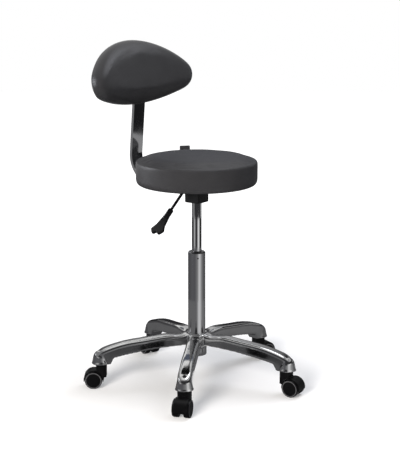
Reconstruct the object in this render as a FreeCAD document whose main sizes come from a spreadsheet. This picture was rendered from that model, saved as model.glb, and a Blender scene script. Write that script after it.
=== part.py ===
import FreeCAD, Part
import math
import os
import Sketcher
from FreeCAD import Placement, Rotation, Vector

# Rolling stool with a backrest: five-arm cast base on twin-wheel casters, gas column,
# round upholstered seat, clamp-locked back bar with an upholstered back pad.
# Millimetres, floor at z = 0, column axis on Z, the sitter faces -Y.

doc = FreeCAD.newDocument("RollingStool")
sheet = doc.addObject("Spreadsheet::Sheet", "Sizes")

SIZES = [
    # star base
    ("ring_radius", 281.0), ("base_turn", 10.2), ("hub_radius", 29.0), ("hub_bottom", 80.0),
    ("hub_top", 147.0), ("hub_neck", 112.0), ("collar_radius", 36.0), ("collar_chamfer", 4.0),
    ("taper_foot", 23.4),
    ("arm_root_width", 40.0), ("arm_waist_width", 38.0), ("arm_knee_width", 39.0),
    ("arm_toe_width", 38.0), ("arm_nose_width", 22.0), ("arm_corner", 9.0), ("toe_corner", 10.0),
    ("arm_root_top", 148.0), ("arm_waist_top", 143.5), ("arm_bend_top", 133.0),
    ("arm_knee_top", 121.5), ("arm_toe_top", 110.5), ("arm_nose_top", 94.0),
    ("arm_depth", 34.0), ("arm_bend_depth", 37.0), ("waist_reach", 115.0), ("bend_back", 76.0),
    ("knee_back", 27.0), ("toe_step", 9.0), ("toe_step_height", 18.0), ("nose_reach", 14.0),
    ("toe_bottom", 70.0), ("channel_wall", 4.5),
    ("bell_radius", 24.2), ("bell_lip", 26.5), ("bell_lip_thick", 2.0), ("bell_shoulder", 5.5),
    ("bell_waist", 21.0), ("bell_waist_height", 22.0), ("bell_wall", 3.7), ("bell_hollow", 19.0),
    ("socket_boss", 10.0),
    ("socket_radius", 5.5), ("socket_depth", 26.0),
    # gas column
    ("column_radius", 25.0), ("column_wall", 2.0), ("column_top", 385.0), ("column_floor", 5.0),
    ("bush_length", 90.0), ("bush_flange", 3.0), ("tube_radius", 14.0), ("tube_wall", 1.5),
    ("tube_bottom", 237.0), ("tube_cone_length", 30.0), ("tube_cone_drop", 0.8),
    ("rod_radius", 5.0), ("rod_foot_radius", 4.0), ("piston_length", 12.0), ("piston_bottom", 340.0),
    ("guide_length", 18.0), ("race_radius", 17.0), ("race_thick", 2.0), ("ball_radius", 2.0),
    ("ball_ring", 11.5), ("clip_thick", 3.0), ("bumper_length", 12.0), ("bumper_radius", 11.0),
    ("release_radius", 4.0), ("release_tail", 7.0),
    # casters
    ("wheel_radius", 25.0), ("wheel_width", 17.0), ("wheel_gap", 15.0), ("wheel_rim", 3.5),
    ("wheel_dish", 2.0), ("wheel_boss", 8.0), ("axle_radius", 4.0), ("trail", 20.0),
    ("hood_air", 1.5), ("hood_wall", 2.2), ("hood_width", 40.0), ("hood_web", 13.0),
    ("hood_skirt", 5.0), ("hood_round", 2.0),
    ("web_radius", 17.0), ("neck_width", 36.0), ("neck_front", 17.0), ("neck_back", 13.0),
    ("neck_foot", 33.0), ("neck_corner", 7.0), ("stem_flange", 9.0), ("stem_flange_thick", 1.8),
    ("stem_seat", 17.0), ("stem_reach", 23.0),
    ("heading_1", -87.0), ("heading_2", -25.0), ("heading_3", 67.0), ("heading_4", 125.0),
    ("heading_5", 200.0),
    # seat and mechanism
    ("seat_bottom", 584.0), ("seat_radius", 175.0), ("seat_thick", 80.0), ("seat_ridge_drop", 7.0),
    ("seat_flat_radius", 100.0), ("seat_ridge_inset", 8.0), ("seat_shoulder", 9.0),
    ("seat_tuck", 12.0), ("board_inset", 15.0), ("board_thick", 12.0), ("plate_thick", 3.0),
    ("plate_width", 150.0), ("plate_front", 75.0), ("plate_back", 115.0), ("plate_corner", 14.0),
    ("bolt_x", 60.0), ("bolt_front", 60.0), ("bolt_back", 98.0), ("bolt_radius", 3.0),
    ("bolt_head_radius", 5.5), ("bolt_head_height", 4.0), ("nut_barrel_radius", 4.5),
    ("nut_flange_radius", 9.0), ("nut_flange_thick", 1.5),
    ("box_size", 50.0), ("box_height", 50.0), ("box_wall", 2.5), ("box_corner", 4.0),
    ("cup_radius", 18.0), ("cup_height", 27.0),
    # height lever
    ("lever_radius", 4.0), ("lever_pivot", 32.0), ("lever_drop", 9.5), ("lever_inner", 4.0),
    ("lever_bend_at", 57.0), ("lever_bend_radius", 22.0), ("lever_slope", 36.0),
    ("lever_run", 96.0), ("ear_gap", 10.0), ("ear_thick", 3.0), ("ear_width", 13.0),
    ("pivot_radius", 2.5), ("paddle_length", 90.0), ("paddle_neck", 14.0), ("paddle_end", 42.0),
    ("paddle_collar", 8.0), ("paddle_collar_length", 20.0), ("paddle_thick", 9.0),
    ("paddle_grip", 30.0), ("paddle_notch", 7.0), ("paddle_soft", 4.0), ("lever_slot_air", 2.0),
    # back hinge, lock lever
    ("hinge_y", 40.0), ("hinge_drop", 17.0), ("hinge_radius", 4.0), ("cheek_inside", 34.0),
    ("cheek_thick", 3.0), ("cheek_width", 22.0), ("cheek_below", 7.5),
    ("arm_plate_thick", 4.0), ("arm_plate_back", 128.0), ("arm_plate_front", 46.0),
    ("lug_thick", 3.5), ("lug_air", 0.5), ("lug_length", 39.0), ("lug_front", 9.0),
    ("lug_below", 7.0), ("lug_above", 10.0),
    ("lock_boss_radius", 10.0), ("lock_boss_length", 12.0), ("lock_air", 0.4),
    ("lock_yaw", 46.0), ("lock_run_in", 57.0), ("lock_bend_radius", 12.0), ("lock_rise", 80.0),
    ("lock_stem", 30.0), ("tab_width", 30.0), ("tab_thick", 9.0), ("tab_soft", 2.0),
    # back bar and pad
    ("bar_width", 50.0), ("bar_thick", 8.0), ("bar_start", 52.0), ("bar_drop", 7.0),
    ("bar_bend_in", 39.6),
    ("bar_bend_radius", 80.0), ("bar_lean", 4.4), ("bar_upright", 150.0), ("bar_top_bend", 60.0),
    ("pad_recline", 12.0), ("bar_head", 92.0), ("bar_bolt_1", 80.0), ("bar_bolt_2", 112.0),
    ("bar_bolt_radius", 4.0), ("bar_bolt_head", 8.0), ("bar_nut_across", 13.0),
    ("bar_nut_height", 6.0), ("pad_half_width", 221.0), ("pad_above", 127.0), ("pad_below", 58.0),
    ("pad_side_radius", 45.0), ("pad_side_height", 8.0), ("pad_curve", 600.0),
    ("pad_front_curve", 1600.0), ("pad_crown_radius", 260.0), ("pad_thick", 70.0),
    ("pad_front_round", 20.0), ("back_board_thick", 10.0),
    ("back_board_margin", 32.0), ("pad_seat", 33.0), ("pad_behind", 37.0), ("pad_bolt_low", 22.0),
    ("pad_bolt_high", 66.0),
    # fits
    ("running_fit", 0.05), ("face_air", 0.3),
]

for row, (alias, number) in enumerate(SIZES, start=1):
    sheet.set("A%d" % row, alias.replace("_", " "))
    sheet.set("B%d" % row, repr(number))
    sheet.setAlias("B%d" % row, alias)
doc.recompute()


class Size:
    """A number from the sheet together with the formula that makes it."""

    def __init__(self, number, text):
        self.number = number
        self.text = text

    def __add__(self, other):
        other = as_size(other)
        return Size(self.number + other.number, "(%s + %s)" % (self.text, other.text))

    def __sub__(self, other):
        other = as_size(other)
        return Size(self.number - other.number, "(%s - %s)" % (self.text, other.text))

    def __mul__(self, other):
        other = as_size(other)
        return Size(self.number * other.number, "(%s * %s)" % (self.text, other.text))

    def __truediv__(self, other):
        other = as_size(other)
        return Size(self.number / other.number, "(%s / %s)" % (self.text, other.text))

    def __neg__(self):
        return Size(-self.number, "(0 - %s)" % self.text)

    def __radd__(self, other):
        return as_size(other) + self

    def __rsub__(self, other):
        return as_size(other) - self

    def __rmul__(self, other):
        return as_size(other) * self


def as_size(value):
    if isinstance(value, Size):
        return value
    return Size(float(value), repr(float(value)))


class Sheet:
    """Reads each aliased cell as a Size."""

    def __getattr__(self, alias):
        return Size(float(sheet.get(alias)), "Sizes." + alias)


s = Sheet()
nodes = []


def tie(target, path, size):
    """Binds one property to a formula, or sets it when the value is a plain number."""
    target.setExpression(path, as_size(size).text)


def node(target, label):
    target.Label = label
    nodes.append(target)
    return target


def put(target, x=0, y=0, z=0, turn=0.0, about=Vector(0, 0, 1)):
    """Moves and turns an object; the position stays bound to the sheet."""
    target.Placement = Placement(Vector(0, 0, 0), Rotation(about, turn))
    tie(target, "Placement.Base.x", x)
    tie(target, "Placement.Base.y", y)
    tie(target, "Placement.Base.z", z)
    return target


ALONG_X = (90.0, Vector(0, 1, 0))
ALONG_Y = (-90.0, Vector(1, 0, 0))


# Primitives and booleans

def cylinder(name, radius, length, x=0, y=0, z=0, way=(0.0, Vector(0, 0, 1))):
    target = doc.addObject("Part::Cylinder", name)
    tie(target, "Radius", radius)
    tie(target, "Height", length)
    return put(target, x, y, z, way[0], way[1])


def block(name, length, width, height, x, y, z):
    """A box from its lowest corner."""
    target = doc.addObject("Part::Box", name)
    tie(target, "Length", length)
    tie(target, "Width", width)
    tie(target, "Height", height)
    return put(target, x, y, z)


def fuse(name, *pieces):
    target = doc.addObject("Part::MultiFuse", name)
    target.Shapes = list(pieces)
    target.Refine = True
    return target


def cut(name, base, *tools):
    target = doc.addObject("Part::Cut", name)
    target.Base = base
    if len(tools) == 1:
        target.Tool = tools[0]
    else:
        target.Tool = fuse(name + "Tools", *tools)
    target.Refine = True
    return target


def common(name, first, second):
    target = doc.addObject("Part::Common", name)
    target.Base = first
    target.Tool = second
    return target


def group(name, *pieces):
    target = doc.addObject("Part::Compound", name)
    target.Links = list(pieces)
    return target


def rounded(name, base, radius, wanted):
    """Rounds those edges of an object that the test picks."""
    doc.recompute()
    target = doc.addObject("Part::Fillet", name)
    target.Base = base
    target.Edges = [(i, radius.number, radius.number)
                    for i, edge in enumerate(base.Shape.Edges, start=1) if wanted(edge)]
    return target


def upright(edge):
    ends = [v.Point for v in edge.Vertexes]
    if len(ends) != 2:
        return False
    step = ends[1] - ends[0]
    return abs(step.z) > 0.99 * edge.Length and edge.Length > 0.5


# Sketch-based features

def new_body(name):
    return doc.addObject("PartDesign::Body", name)


def plane_of(body, role):
    for feature in body.Origin.OriginFeatures:
        if feature.Role == role:
            return feature
    raise RuntimeError("no plane " + role)


def sketch_on(body, name, role, lift=0):
    target = body.newObject("Sketcher::SketchObject", name)
    target.AttachmentSupport = [(plane_of(body, role), "")]
    target.MapMode = "FlatFace"
    tie(target, "AttachmentOffset.Base.z", lift)
    return target


def pin_point(target, line, end, x, y):
    """Holds one end of a line at a bound distance from the sketch origin."""
    for kind, value, axis in (("DistanceX", as_size(x), -2), ("DistanceY", as_size(y), -1)):
        if value.number == 0.0 and "Sizes" not in value.text:
            target.addConstraint(Sketcher.Constraint("PointOnObject", line, end, axis))
        else:
            index = target.addConstraint(Sketcher.Constraint(kind, -1, 1, line, end, value.number))
            target.setExpression("Constraints[%d]" % index, value.text)


def outline(target, corners):
    """A closed outline of straight lines through bound corners."""
    start = target.GeometryCount
    count = len(corners)
    spots = [Vector(as_size(x).number, as_size(y).number, 0) for x, y in corners]
    for i in range(count):
        target.addGeometry(Part.LineSegment(spots[i], spots[(i + 1) % count]), False)
    for i in range(count):
        after = start + (i + 1) % count
        target.addConstraint(Sketcher.Constraint("Coincident", start + i, 2, after, 1))
    for i, (x, y) in enumerate(corners):
        pin_point(target, start + i, 1, x, y)


def ring(target, radius, x=0, y=0):
    """A full circle with bound radius and centre."""
    x = as_size(x)
    y = as_size(y)
    radius = as_size(radius)
    centre = Vector(x.number, y.number, 0)
    circle = target.addGeometry(Part.Circle(centre, Vector(0, 0, 1), radius.number), False)
    index = target.addConstraint(Sketcher.Constraint("Radius", circle, radius.number))
    target.setExpression("Constraints[%d]" % index, radius.text)
    pin_point(target, circle, 3, x, y)


def turned(name, corners):
    """A piece turned on the lathe: (radius, height) corners spun about Z."""
    body = new_body(name)
    profile = sketch_on(body, name + "Profile", "XZ_Plane")
    outline(profile, corners)
    spin = body.newObject("PartDesign::Revolution", name + "Turned")
    spin.Profile = profile
    spin.ReferenceAxis = (profile, ["V_Axis"])
    spin.Angle = 360.0
    body.Tip = spin
    return body


def padded(body, profile, length, both_ways=False):
    pad = body.newObject("PartDesign::Pad", profile.Name + "Pad")
    pad.Profile = profile
    tie(pad, "Length", length)
    pad.Midplane = both_ways
    body.Tip = pad
    return pad


def pocketed(body, profile, length, flip=False, both_ways=False):
    pocket = body.newObject("PartDesign::Pocket", profile.Name + "Pocket")
    pocket.Profile = profile
    tie(pocket, "Length", length)
    pocket.Reversed = flip
    pocket.Midplane = both_ways
    body.Tip = pocket
    return pocket


def repeated(body, features, count, name):
    """Repeats features evenly about the body's Z axis."""
    pattern = body.newObject("PartDesign::PolarPattern", name)
    pattern.Originals = features
    pattern.Axis = (plane_of(body, "Z_Axis"), [""])
    pattern.Angle = 360.0
    pattern.Occurrences = count
    body.Tip = pattern
    return pattern


# Star base

ARMS = 5
arm_turn = s.base_turn - 90


def arm_section(body, name, reach, width, top, bottom, corner):
    """A round-shouldered arm section, upright at a distance from the column axis."""
    target = sketch_on(body, name, "YZ_Plane", reach)
    half = width / 2
    h, t, b, r = half.number, top.number, bottom.number, corner.number
    spots = [Vector(-h, b, 0), Vector(h, b, 0), Vector(h, t - r, 0), Vector(h - r, t, 0),
             Vector(r - h, t, 0), Vector(-h, t - r, 0)]
    up = Vector(0, 0, 1)
    target.addGeometry(Part.LineSegment(spots[0], spots[1]), False)
    target.addGeometry(Part.LineSegment(spots[1], spots[2]), False)
    right = Part.Circle(Vector(h - r, t - r, 0), up, r)
    target.addGeometry(Part.ArcOfCircle(right, 0.0, math.pi / 2), False)
    target.addGeometry(Part.LineSegment(spots[3], spots[4]), False)
    left = Part.Circle(Vector(r - h, t - r, 0), up, r)
    target.addGeometry(Part.ArcOfCircle(left, math.pi / 2, math.pi), False)
    target.addGeometry(Part.LineSegment(spots[5], spots[0]), False)
    target.addConstraint(Sketcher.Constraint("Coincident", 0, 2, 1, 1))
    target.addConstraint(Sketcher.Constraint("Tangent", 1, 2, 2, 1))
    target.addConstraint(Sketcher.Constraint("Tangent", 2, 2, 3, 1))
    target.addConstraint(Sketcher.Constraint("Tangent", 3, 2, 4, 1))
    target.addConstraint(Sketcher.Constraint("Tangent", 4, 2, 5, 1))
    target.addConstraint(Sketcher.Constraint("Coincident", 5, 2, 0, 1))
    target.addConstraint(Sketcher.Constraint("Vertical", 1))
    target.addConstraint(Sketcher.Constraint("Vertical", 5))
    target.addConstraint(Sketcher.Constraint("Horizontal", 3))
    target.addConstraint(Sketcher.Constraint("Equal", 2, 4))
    pin_point(target, 0, 1, -half, bottom)
    pin_point(target, 0, 2, half, bottom)
    for kind, args, value in (("Radius", (2,), corner), ("DistanceY", (-1, 1, 3, 1), top)):
        index = target.addConstraint(Sketcher.Constraint(kind, *args, value.number))
        target.setExpression("Constraints[%d]" % index, value.text)
    return target


def lofted(body, kind, name, sections, ruled=False):
    loft = body.newObject("PartDesign::" + kind, name)
    loft.Profile = sections[0]
    loft.Sections = sections[1:]
    loft.Ruled = ruled
    body.Tip = loft
    return loft


base = new_body("StarBase")
root_x = (s.column_radius + s.collar_radius) / 2
knee = s.ring_radius - s.knee_back
bend = s.ring_radius - s.bend_back
arm_sections = [
    arm_section(base, "ArmRoot", root_x, s.arm_root_width, s.arm_root_top, s.toe_bottom,
                s.arm_corner),
    arm_section(base, "ArmNeck", (root_x + s.waist_reach) / 2, (s.arm_root_width + s.arm_waist_width) / 2,
                (s.arm_root_top + s.arm_waist_top) / 2, s.toe_bottom, s.arm_corner),
    arm_section(base, "ArmWaist", s.waist_reach, s.arm_waist_width, s.arm_waist_top, s.toe_bottom,
                s.arm_corner),
    arm_section(base, "ArmSpan", (s.waist_reach + bend) / 2, s.arm_waist_width,
                (s.arm_waist_top + s.arm_bend_top) / 2, s.toe_bottom, s.arm_corner),
    arm_section(base, "ArmBend", bend, s.arm_waist_width, s.arm_bend_top, s.toe_bottom, s.arm_corner),
    arm_section(base, "ArmKnee", knee, s.arm_knee_width, s.arm_knee_top, s.toe_bottom, s.toe_corner),
    arm_section(base, "ArmToe", s.ring_radius, s.arm_toe_width, s.arm_toe_top, s.toe_bottom,
                s.toe_corner),
    arm_section(base, "ArmNose", s.ring_radius + s.nose_reach, s.arm_nose_width, s.arm_nose_top,
                s.toe_bottom, s.toe_corner),
]
arm = lofted(base, "AdditiveLoft", "Arm", arm_sections)


def about_stem(name):
    """A profile in the arm's upright plane with its own axis on the caster stem."""
    target = sketch_on(base, name, "XZ_Plane")
    tie(target, "AttachmentOffset.Base.x", s.ring_radius)
    return target


# The toe is a round bell: flared lip, conical side, domed top tangent to the side
bell_base = s.toe_bottom + s.bell_shoulder
bell_profile = about_stem("ToeBellProfile")
bell_corners = [
    (0, s.toe_bottom), (s.bell_lip, s.toe_bottom), (s.bell_lip, s.toe_bottom + s.bell_lip_thick),
    (s.bell_radius, bell_base), (s.bell_waist, s.toe_bottom + s.bell_waist_height)]
spots = [Vector(as_size(x).number, z.number, 0) for x, z in bell_corners]
for first, second in zip(spots, spots[1:]):
    bell_profile.addGeometry(Part.LineSegment(first, second), False)
lean = math.atan2(spots[3].x - spots[4].x, spots[4].y - spots[3].y)
dome_radius = spots[4].x / math.cos(lean)
dome_spot = Vector(0, spots[4].y - dome_radius * math.sin(lean), 0)
dome = Part.Circle(dome_spot, Vector(0, 0, 1), dome_radius)
bell_profile.addGeometry(Part.ArcOfCircle(dome, lean, math.pi / 2), False)
apex = Vector(0, dome_spot.y + dome_radius, 0)
bell_profile.addGeometry(Part.LineSegment(apex, spots[0]), False)
for line in (0, 1, 2):
    bell_profile.addConstraint(Sketcher.Constraint("Coincident", line, 2, line + 1, 1))
bell_profile.addConstraint(Sketcher.Constraint("Tangent", 3, 2, 4, 1))
bell_profile.addConstraint(Sketcher.Constraint("Coincident", 4, 2, 5, 1))
bell_profile.addConstraint(Sketcher.Constraint("Coincident", 5, 2, 0, 1))
for line in (0, 1, 2, 3):
    pin_point(bell_profile, line, 1, *bell_corners[line])
pin_point(bell_profile, 3, 2, *bell_corners[4])
bell_profile.addConstraint(Sketcher.Constraint("PointOnObject", 4, 3, -2))
bell_profile.addConstraint(Sketcher.Constraint("PointOnObject", 4, 2, -2))
bell = base.newObject("PartDesign::Revolution", "ToeBell")
bell.Profile = bell_profile
bell.ReferenceAxis = (bell_profile, ["V_Axis"])
bell.Angle = 360.0
base.Tip = bell

# The underside arches from the hub to the toe and drops at the toe's inner wall
arch = sketch_on(base, "ArmArch", "XZ_Plane")
deep = s.toe_bottom - s.toe_step
arch_root = (root_x, s.arm_root_top - s.arm_depth)
arch_mid = (bend, s.arm_bend_top - s.arm_bend_depth)
arch_end = (knee - s.toe_step, s.toe_bottom + s.toe_step_height)
arch_corners = [arch_end, (knee, s.toe_bottom), (knee, deep), (root_x, deep), arch_root]
spots = [Vector(x.number, z.number, 0) for x, z in arch_corners]
middle = Vector(arch_mid[0].number, arch_mid[1].number, 0)
for first, second in zip(spots, spots[1:]):
    arch.addGeometry(Part.LineSegment(first, second), False)
arch.addGeometry(Part.Arc(spots[4], middle, spots[0]), False)
for line in (0, 1, 2):
    arch.addConstraint(Sketcher.Constraint("Coincident", line, 2, line + 1, 1))
arch.addConstraint(Sketcher.Constraint("Coincident", 4, 1, 0, 1))
arch.addConstraint(Sketcher.Constraint("Coincident", 4, 2, 3, 2))
for line in (0, 1, 2, 3):
    pin_point(arch, line, 1, *arch_corners[line])
pin_point(arch, 3, 2, *arch_root)
arch_mark = arch.addGeometry(Part.Point(middle), True)
pin_point(arch, arch_mark, 1, *arch_mid)
arch.addConstraint(Sketcher.Constraint("PointOnObject", arch_mark, 1, 4))
arch_cut = pocketed(base, arch, 2 * s.arm_toe_width, both_ways=True)
repeated(base, [arm, bell, arch_cut], ARMS, "Arms")

hub_sketch = sketch_on(base, "HubProfile", "XZ_Plane")
outline(hub_sketch, [
    (0, s.hub_bottom), (s.hub_radius, s.hub_bottom), (s.hub_radius, s.hub_neck),
    (s.collar_radius, s.hub_neck), (s.collar_radius, s.hub_top - s.collar_chamfer),
    (s.collar_radius - s.collar_chamfer, s.hub_top), (0, s.hub_top)])
hub = base.newObject("PartDesign::Revolution", "Hub")
hub.Profile = hub_sketch
hub.ReferenceAxis = (hub_sketch, ["V_Axis"])
hub.Angle = 360.0
base.Tip = hub

inner_waist = s.arm_waist_width - 2 * s.channel_wall
inner_corner = s.arm_corner - s.channel_wall
channel_sections = [
    arm_section(base, "ChannelRoot", s.collar_radius + s.channel_wall, inner_waist,
                s.arm_waist_top - s.channel_wall, s.toe_bottom, inner_corner),
    arm_section(base, "ChannelWaist", s.waist_reach, inner_waist,
                s.arm_waist_top - s.channel_wall, s.toe_bottom, inner_corner),
    arm_section(base, "ChannelBend", bend, inner_waist,
                s.arm_bend_top - s.channel_wall, s.toe_bottom, inner_corner),
    arm_section(base, "ChannelEnd", knee - s.channel_wall, inner_waist,
                s.arm_knee_top - 2 * s.channel_wall, s.toe_bottom, inner_corner),
]
channel = lofted(base, "SubtractiveLoft", "Channel", channel_sections, ruled=True)
repeated(base, [channel], ARMS, "Channels")

bell_inside = s.bell_radius - s.bell_wall
hollow_top = s.toe_bottom + s.bell_hollow
hollow_profile = about_stem("ToeHollowProfile")
outline(hollow_profile, [
    (s.socket_boss, s.toe_bottom), (bell_inside, s.toe_bottom), (bell_inside, bell_base),
    (s.socket_boss + s.bell_wall, hollow_top), (s.socket_boss, hollow_top)])
hollow = base.newObject("PartDesign::Groove", "ToeHollow")
hollow.Profile = hollow_profile
hollow.ReferenceAxis = (hollow_profile, ["V_Axis"])
hollow.Angle = 360.0
base.Tip = hollow
repeated(base, [hollow], ARMS, "ToeHollows")

socket = sketch_on(base, "StemSocket", "XY_Plane", s.toe_bottom)
ring(socket, s.socket_radius, s.ring_radius)
socket_cut = pocketed(base, socket, s.socket_depth, flip=True)
repeated(base, [socket_cut], ARMS, "StemSockets")

bore_sketch = sketch_on(base, "ColumnBore", "XZ_Plane")
outline(bore_sketch, [
    (0, s.hub_bottom), (s.taper_foot, s.hub_bottom), (s.column_radius, s.hub_top),
    (0, s.hub_top)])
bore = base.newObject("PartDesign::Groove", "ColumnBoreCut")
bore.Profile = bore_sketch
bore.ReferenceAxis = (bore_sketch, ["V_Axis"])
bore.Angle = 360.0
base.Tip = bore
tie(base, "Placement.Rotation.Angle", arm_turn)
node(base, "star_base")


# Gas column: outer tube in the base, spindle with the piston rod, pressure tube in the seat

floor_top = s.hub_bottom + s.column_floor
bore_radius = s.column_radius - s.column_wall
node(turned("ColumnTube", [
    (s.rod_foot_radius + 2, s.hub_bottom), (s.taper_foot, s.hub_bottom), (s.column_radius, s.hub_top),
    (s.column_radius, s.column_top), (bore_radius, s.column_top), (bore_radius, s.hub_top),
    (s.taper_foot - s.column_wall, floor_top), (s.rod_foot_radius + 2, floor_top)]), "column_tube")

node(turned("GuideBush", [
    (s.tube_radius + s.running_fit, s.column_top - s.bush_length),
    (bore_radius, s.column_top - s.bush_length), (bore_radius, s.column_top),
    (s.column_radius - s.column_wall / 4, s.column_top),
    (s.column_radius - s.column_wall, s.column_top + s.bush_flange),
    (s.tube_radius + s.running_fit, s.column_top + s.bush_flange)]), "guide_bush")

race_1 = floor_top + s.race_thick
race_2 = race_1 + 2 * s.ball_radius
race_3 = race_2 + s.race_thick
node(turned("LowerRace", [
    (s.rod_foot_radius + 2, floor_top), (s.race_radius, floor_top), (s.race_radius, race_1),
    (s.rod_foot_radius + 2, race_1)]), "bearing_lower_race")
node(turned("UpperRace", [
    (s.rod_foot_radius, race_2), (s.race_radius, race_2), (s.race_radius, race_3),
    (s.rod_foot_radius, race_3)]), "bearing_upper_race")

BALLS = 10
balls = []
for i in range(BALLS):
    ball = doc.addObject("Part::Sphere", "Ball%d" % i)
    tie(ball, "Radius", s.ball_radius - s.running_fit)
    around = math.radians(360.0 * i / BALLS)
    put(ball, s.ball_ring * math.cos(around), s.ball_ring * math.sin(around), race_1 + s.ball_radius)
    balls.append(ball)
node(group("BearingBalls", *balls), "bearing_balls")

clip_top = s.hub_bottom - s.face_air
rod_top = s.piston_bottom + s.piston_length
node(turned("PistonRod", [
    (0, clip_top - 2 * s.clip_thick), (s.rod_foot_radius, clip_top - 2 * s.clip_thick),
    (s.rod_foot_radius, race_3), (s.rod_radius, race_3), (s.rod_radius, rod_top), (0, rod_top)]),
    "piston_rod")
node(turned("RodClip", [
    (s.rod_foot_radius, clip_top - s.clip_thick), (2 * s.rod_radius, clip_top - s.clip_thick),
    (2 * s.rod_radius, clip_top), (s.rod_foot_radius, clip_top)]), "rod_clip")
node(turned("Bumper", [
    (s.rod_radius, race_3), (s.bumper_radius, race_3), (s.bumper_radius, race_3 + s.bumper_length / 2),
    (s.bumper_radius - 2, race_3 + s.bumper_length), (s.rod_radius, race_3 + s.bumper_length)]),
    "bumper")
tube_bore = s.tube_radius - s.tube_wall
node(turned("Piston", [
    (s.rod_radius, s.piston_bottom), (tube_bore - s.running_fit, s.piston_bottom),
    (tube_bore - s.running_fit, rod_top), (s.rod_radius, rod_top)]), "piston")

box_top = s.seat_bottom - s.plate_thick
box_bottom = box_top - s.box_height
tube_top = box_bottom + s.tube_cone_length
cone_radius = s.tube_radius - s.tube_cone_drop
lever_z = box_top - s.lever_drop
release_top = lever_z - s.lever_radius - s.running_fit * 8
node(turned("PressureTube", [
    (tube_bore, s.tube_bottom), (s.tube_radius, s.tube_bottom), (s.tube_radius, box_bottom),
    (cone_radius, tube_top), (s.release_radius + s.running_fit, tube_top),
    (s.release_radius + s.running_fit, box_bottom), (tube_bore, box_bottom)]), "pressure_tube")
guide_bottom = s.tube_bottom + s.face_air
node(turned("RodGuide", [
    (s.rod_radius + s.running_fit, guide_bottom), (tube_bore, guide_bottom),
    (tube_bore, guide_bottom + s.guide_length),
    (s.rod_radius + s.running_fit, guide_bottom + s.guide_length)]), "rod_guide")
node(turned("ReleasePin", [
    (0, box_bottom - s.release_tail), (s.release_radius, box_bottom - s.release_tail),
    (s.release_radius, release_top), (0, release_top)]), "release_pin")


# Twin-wheel casters

def caster_place(number):
    """Where a caster's swivel axis stands and which way it trails."""
    around = math.radians(arm_turn.number + 360.0 / ARMS * (number - 1))
    reach = s.ring_radius.number
    spot = Vector(reach * math.cos(around), reach * math.sin(around), 0)
    heading = float(sheet.get("heading_%d" % number))
    return Placement(spot, Rotation(Vector(0, 0, 1), heading))


hood_radius = s.wheel_radius + s.hood_air + s.hood_wall
neck_top = s.toe_bottom - s.stem_flange_thick - s.face_air
stem_foot = neck_top - s.stem_seat


def around_hood(edge):
    """Picks the two long arcs at the fender's sides."""
    return hasattr(edge.Curve, "Radius") and abs(edge.Curve.Radius - hood_radius.number) < 0.01


def caster_hood(tag):
    """A moulded hood over both wheels: neck block, half-round fender, middle web."""
    fender = cylinder(tag + "Fender", hood_radius, s.hood_width, s.trail, -s.hood_width / 2,
                      s.wheel_radius, ALONG_Y)
    reach = 2 * hood_radius
    lower = block(tag + "Lower", 2 * reach, 2 * s.hood_width, reach, s.trail - reach,
                  -s.hood_width, s.wheel_radius - s.hood_skirt - reach)
    shell = rounded(tag + "ShellRound", cut(tag + "Shell", fender, lower), s.hood_round, around_hood)
    neck = block(tag + "Neck", s.neck_front + s.neck_back, s.neck_width, neck_top - s.neck_foot,
                 -s.neck_front, -s.neck_width / 2, s.neck_foot)
    neck_round = rounded(tag + "NeckRound", neck, s.neck_corner, upright)
    web = cylinder(tag + "Web", s.web_radius, s.hood_web, s.trail, -s.hood_web / 2,
                   s.wheel_radius, ALONG_Y)
    whole = fuse(tag + "Whole", shell, neck_round, web)
    room = s.wheel_radius + s.hood_air
    side_1 = cylinder(tag + "Room1", room, s.hood_width, s.trail, s.hood_web / 2, s.wheel_radius, ALONG_Y)
    side_2 = cylinder(tag + "Room2", room, s.hood_width, s.trail, -s.hood_web / 2 - s.hood_width,
                      s.wheel_radius, ALONG_Y)
    axle_hole = cylinder(tag + "AxleHole", s.axle_radius, s.hood_width, s.trail, -s.hood_width / 2,
                         s.wheel_radius, ALONG_Y)
    stem_hole = cylinder(tag + "StemHole", s.socket_radius - s.running_fit, s.stem_seat, 0, 0, stem_foot)
    return cut(tag + "Hood", whole, side_1, side_2, axle_hole, stem_hole)


def caster_stem(tag):
    shaft = s.socket_radius - s.running_fit
    tip = s.toe_bottom + s.stem_reach
    return turned(tag + "Stem", [
        (0, stem_foot), (shaft, stem_foot), (shaft, neck_top), (s.stem_flange, neck_top),
        (s.stem_flange, neck_top + s.stem_flange_thick), (shaft, neck_top + s.stem_flange_thick),
        (shaft, tip - shaft / 3), (shaft * 2 / 3, tip), (0, tip)])


def caster_wheel(tag):
    """One wheel, inner face at height 0: tread, rim lip, dished face, boss with a blind bore."""
    bore = s.axle_radius + s.running_fit
    tread = s.wheel_radius
    lip = tread - s.wheel_rim
    face = s.wheel_width - s.wheel_dish
    back = face - s.wheel_rim
    return turned(tag, [
        (0, face), (0, face - s.wheel_dish), (bore, face - s.wheel_dish), (bore, s.running_fit),
        (s.wheel_boss, s.running_fit), (s.wheel_boss, back), (lip - s.wheel_dish, back),
        (lip - s.wheel_dish, s.running_fit), (tread - s.wheel_dish, s.running_fit),
        (tread, s.wheel_dish), (tread, s.wheel_width - s.wheel_dish),
        (tread - s.wheel_dish, s.wheel_width), (lip, s.wheel_width), (lip - s.wheel_dish, face)])


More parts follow.
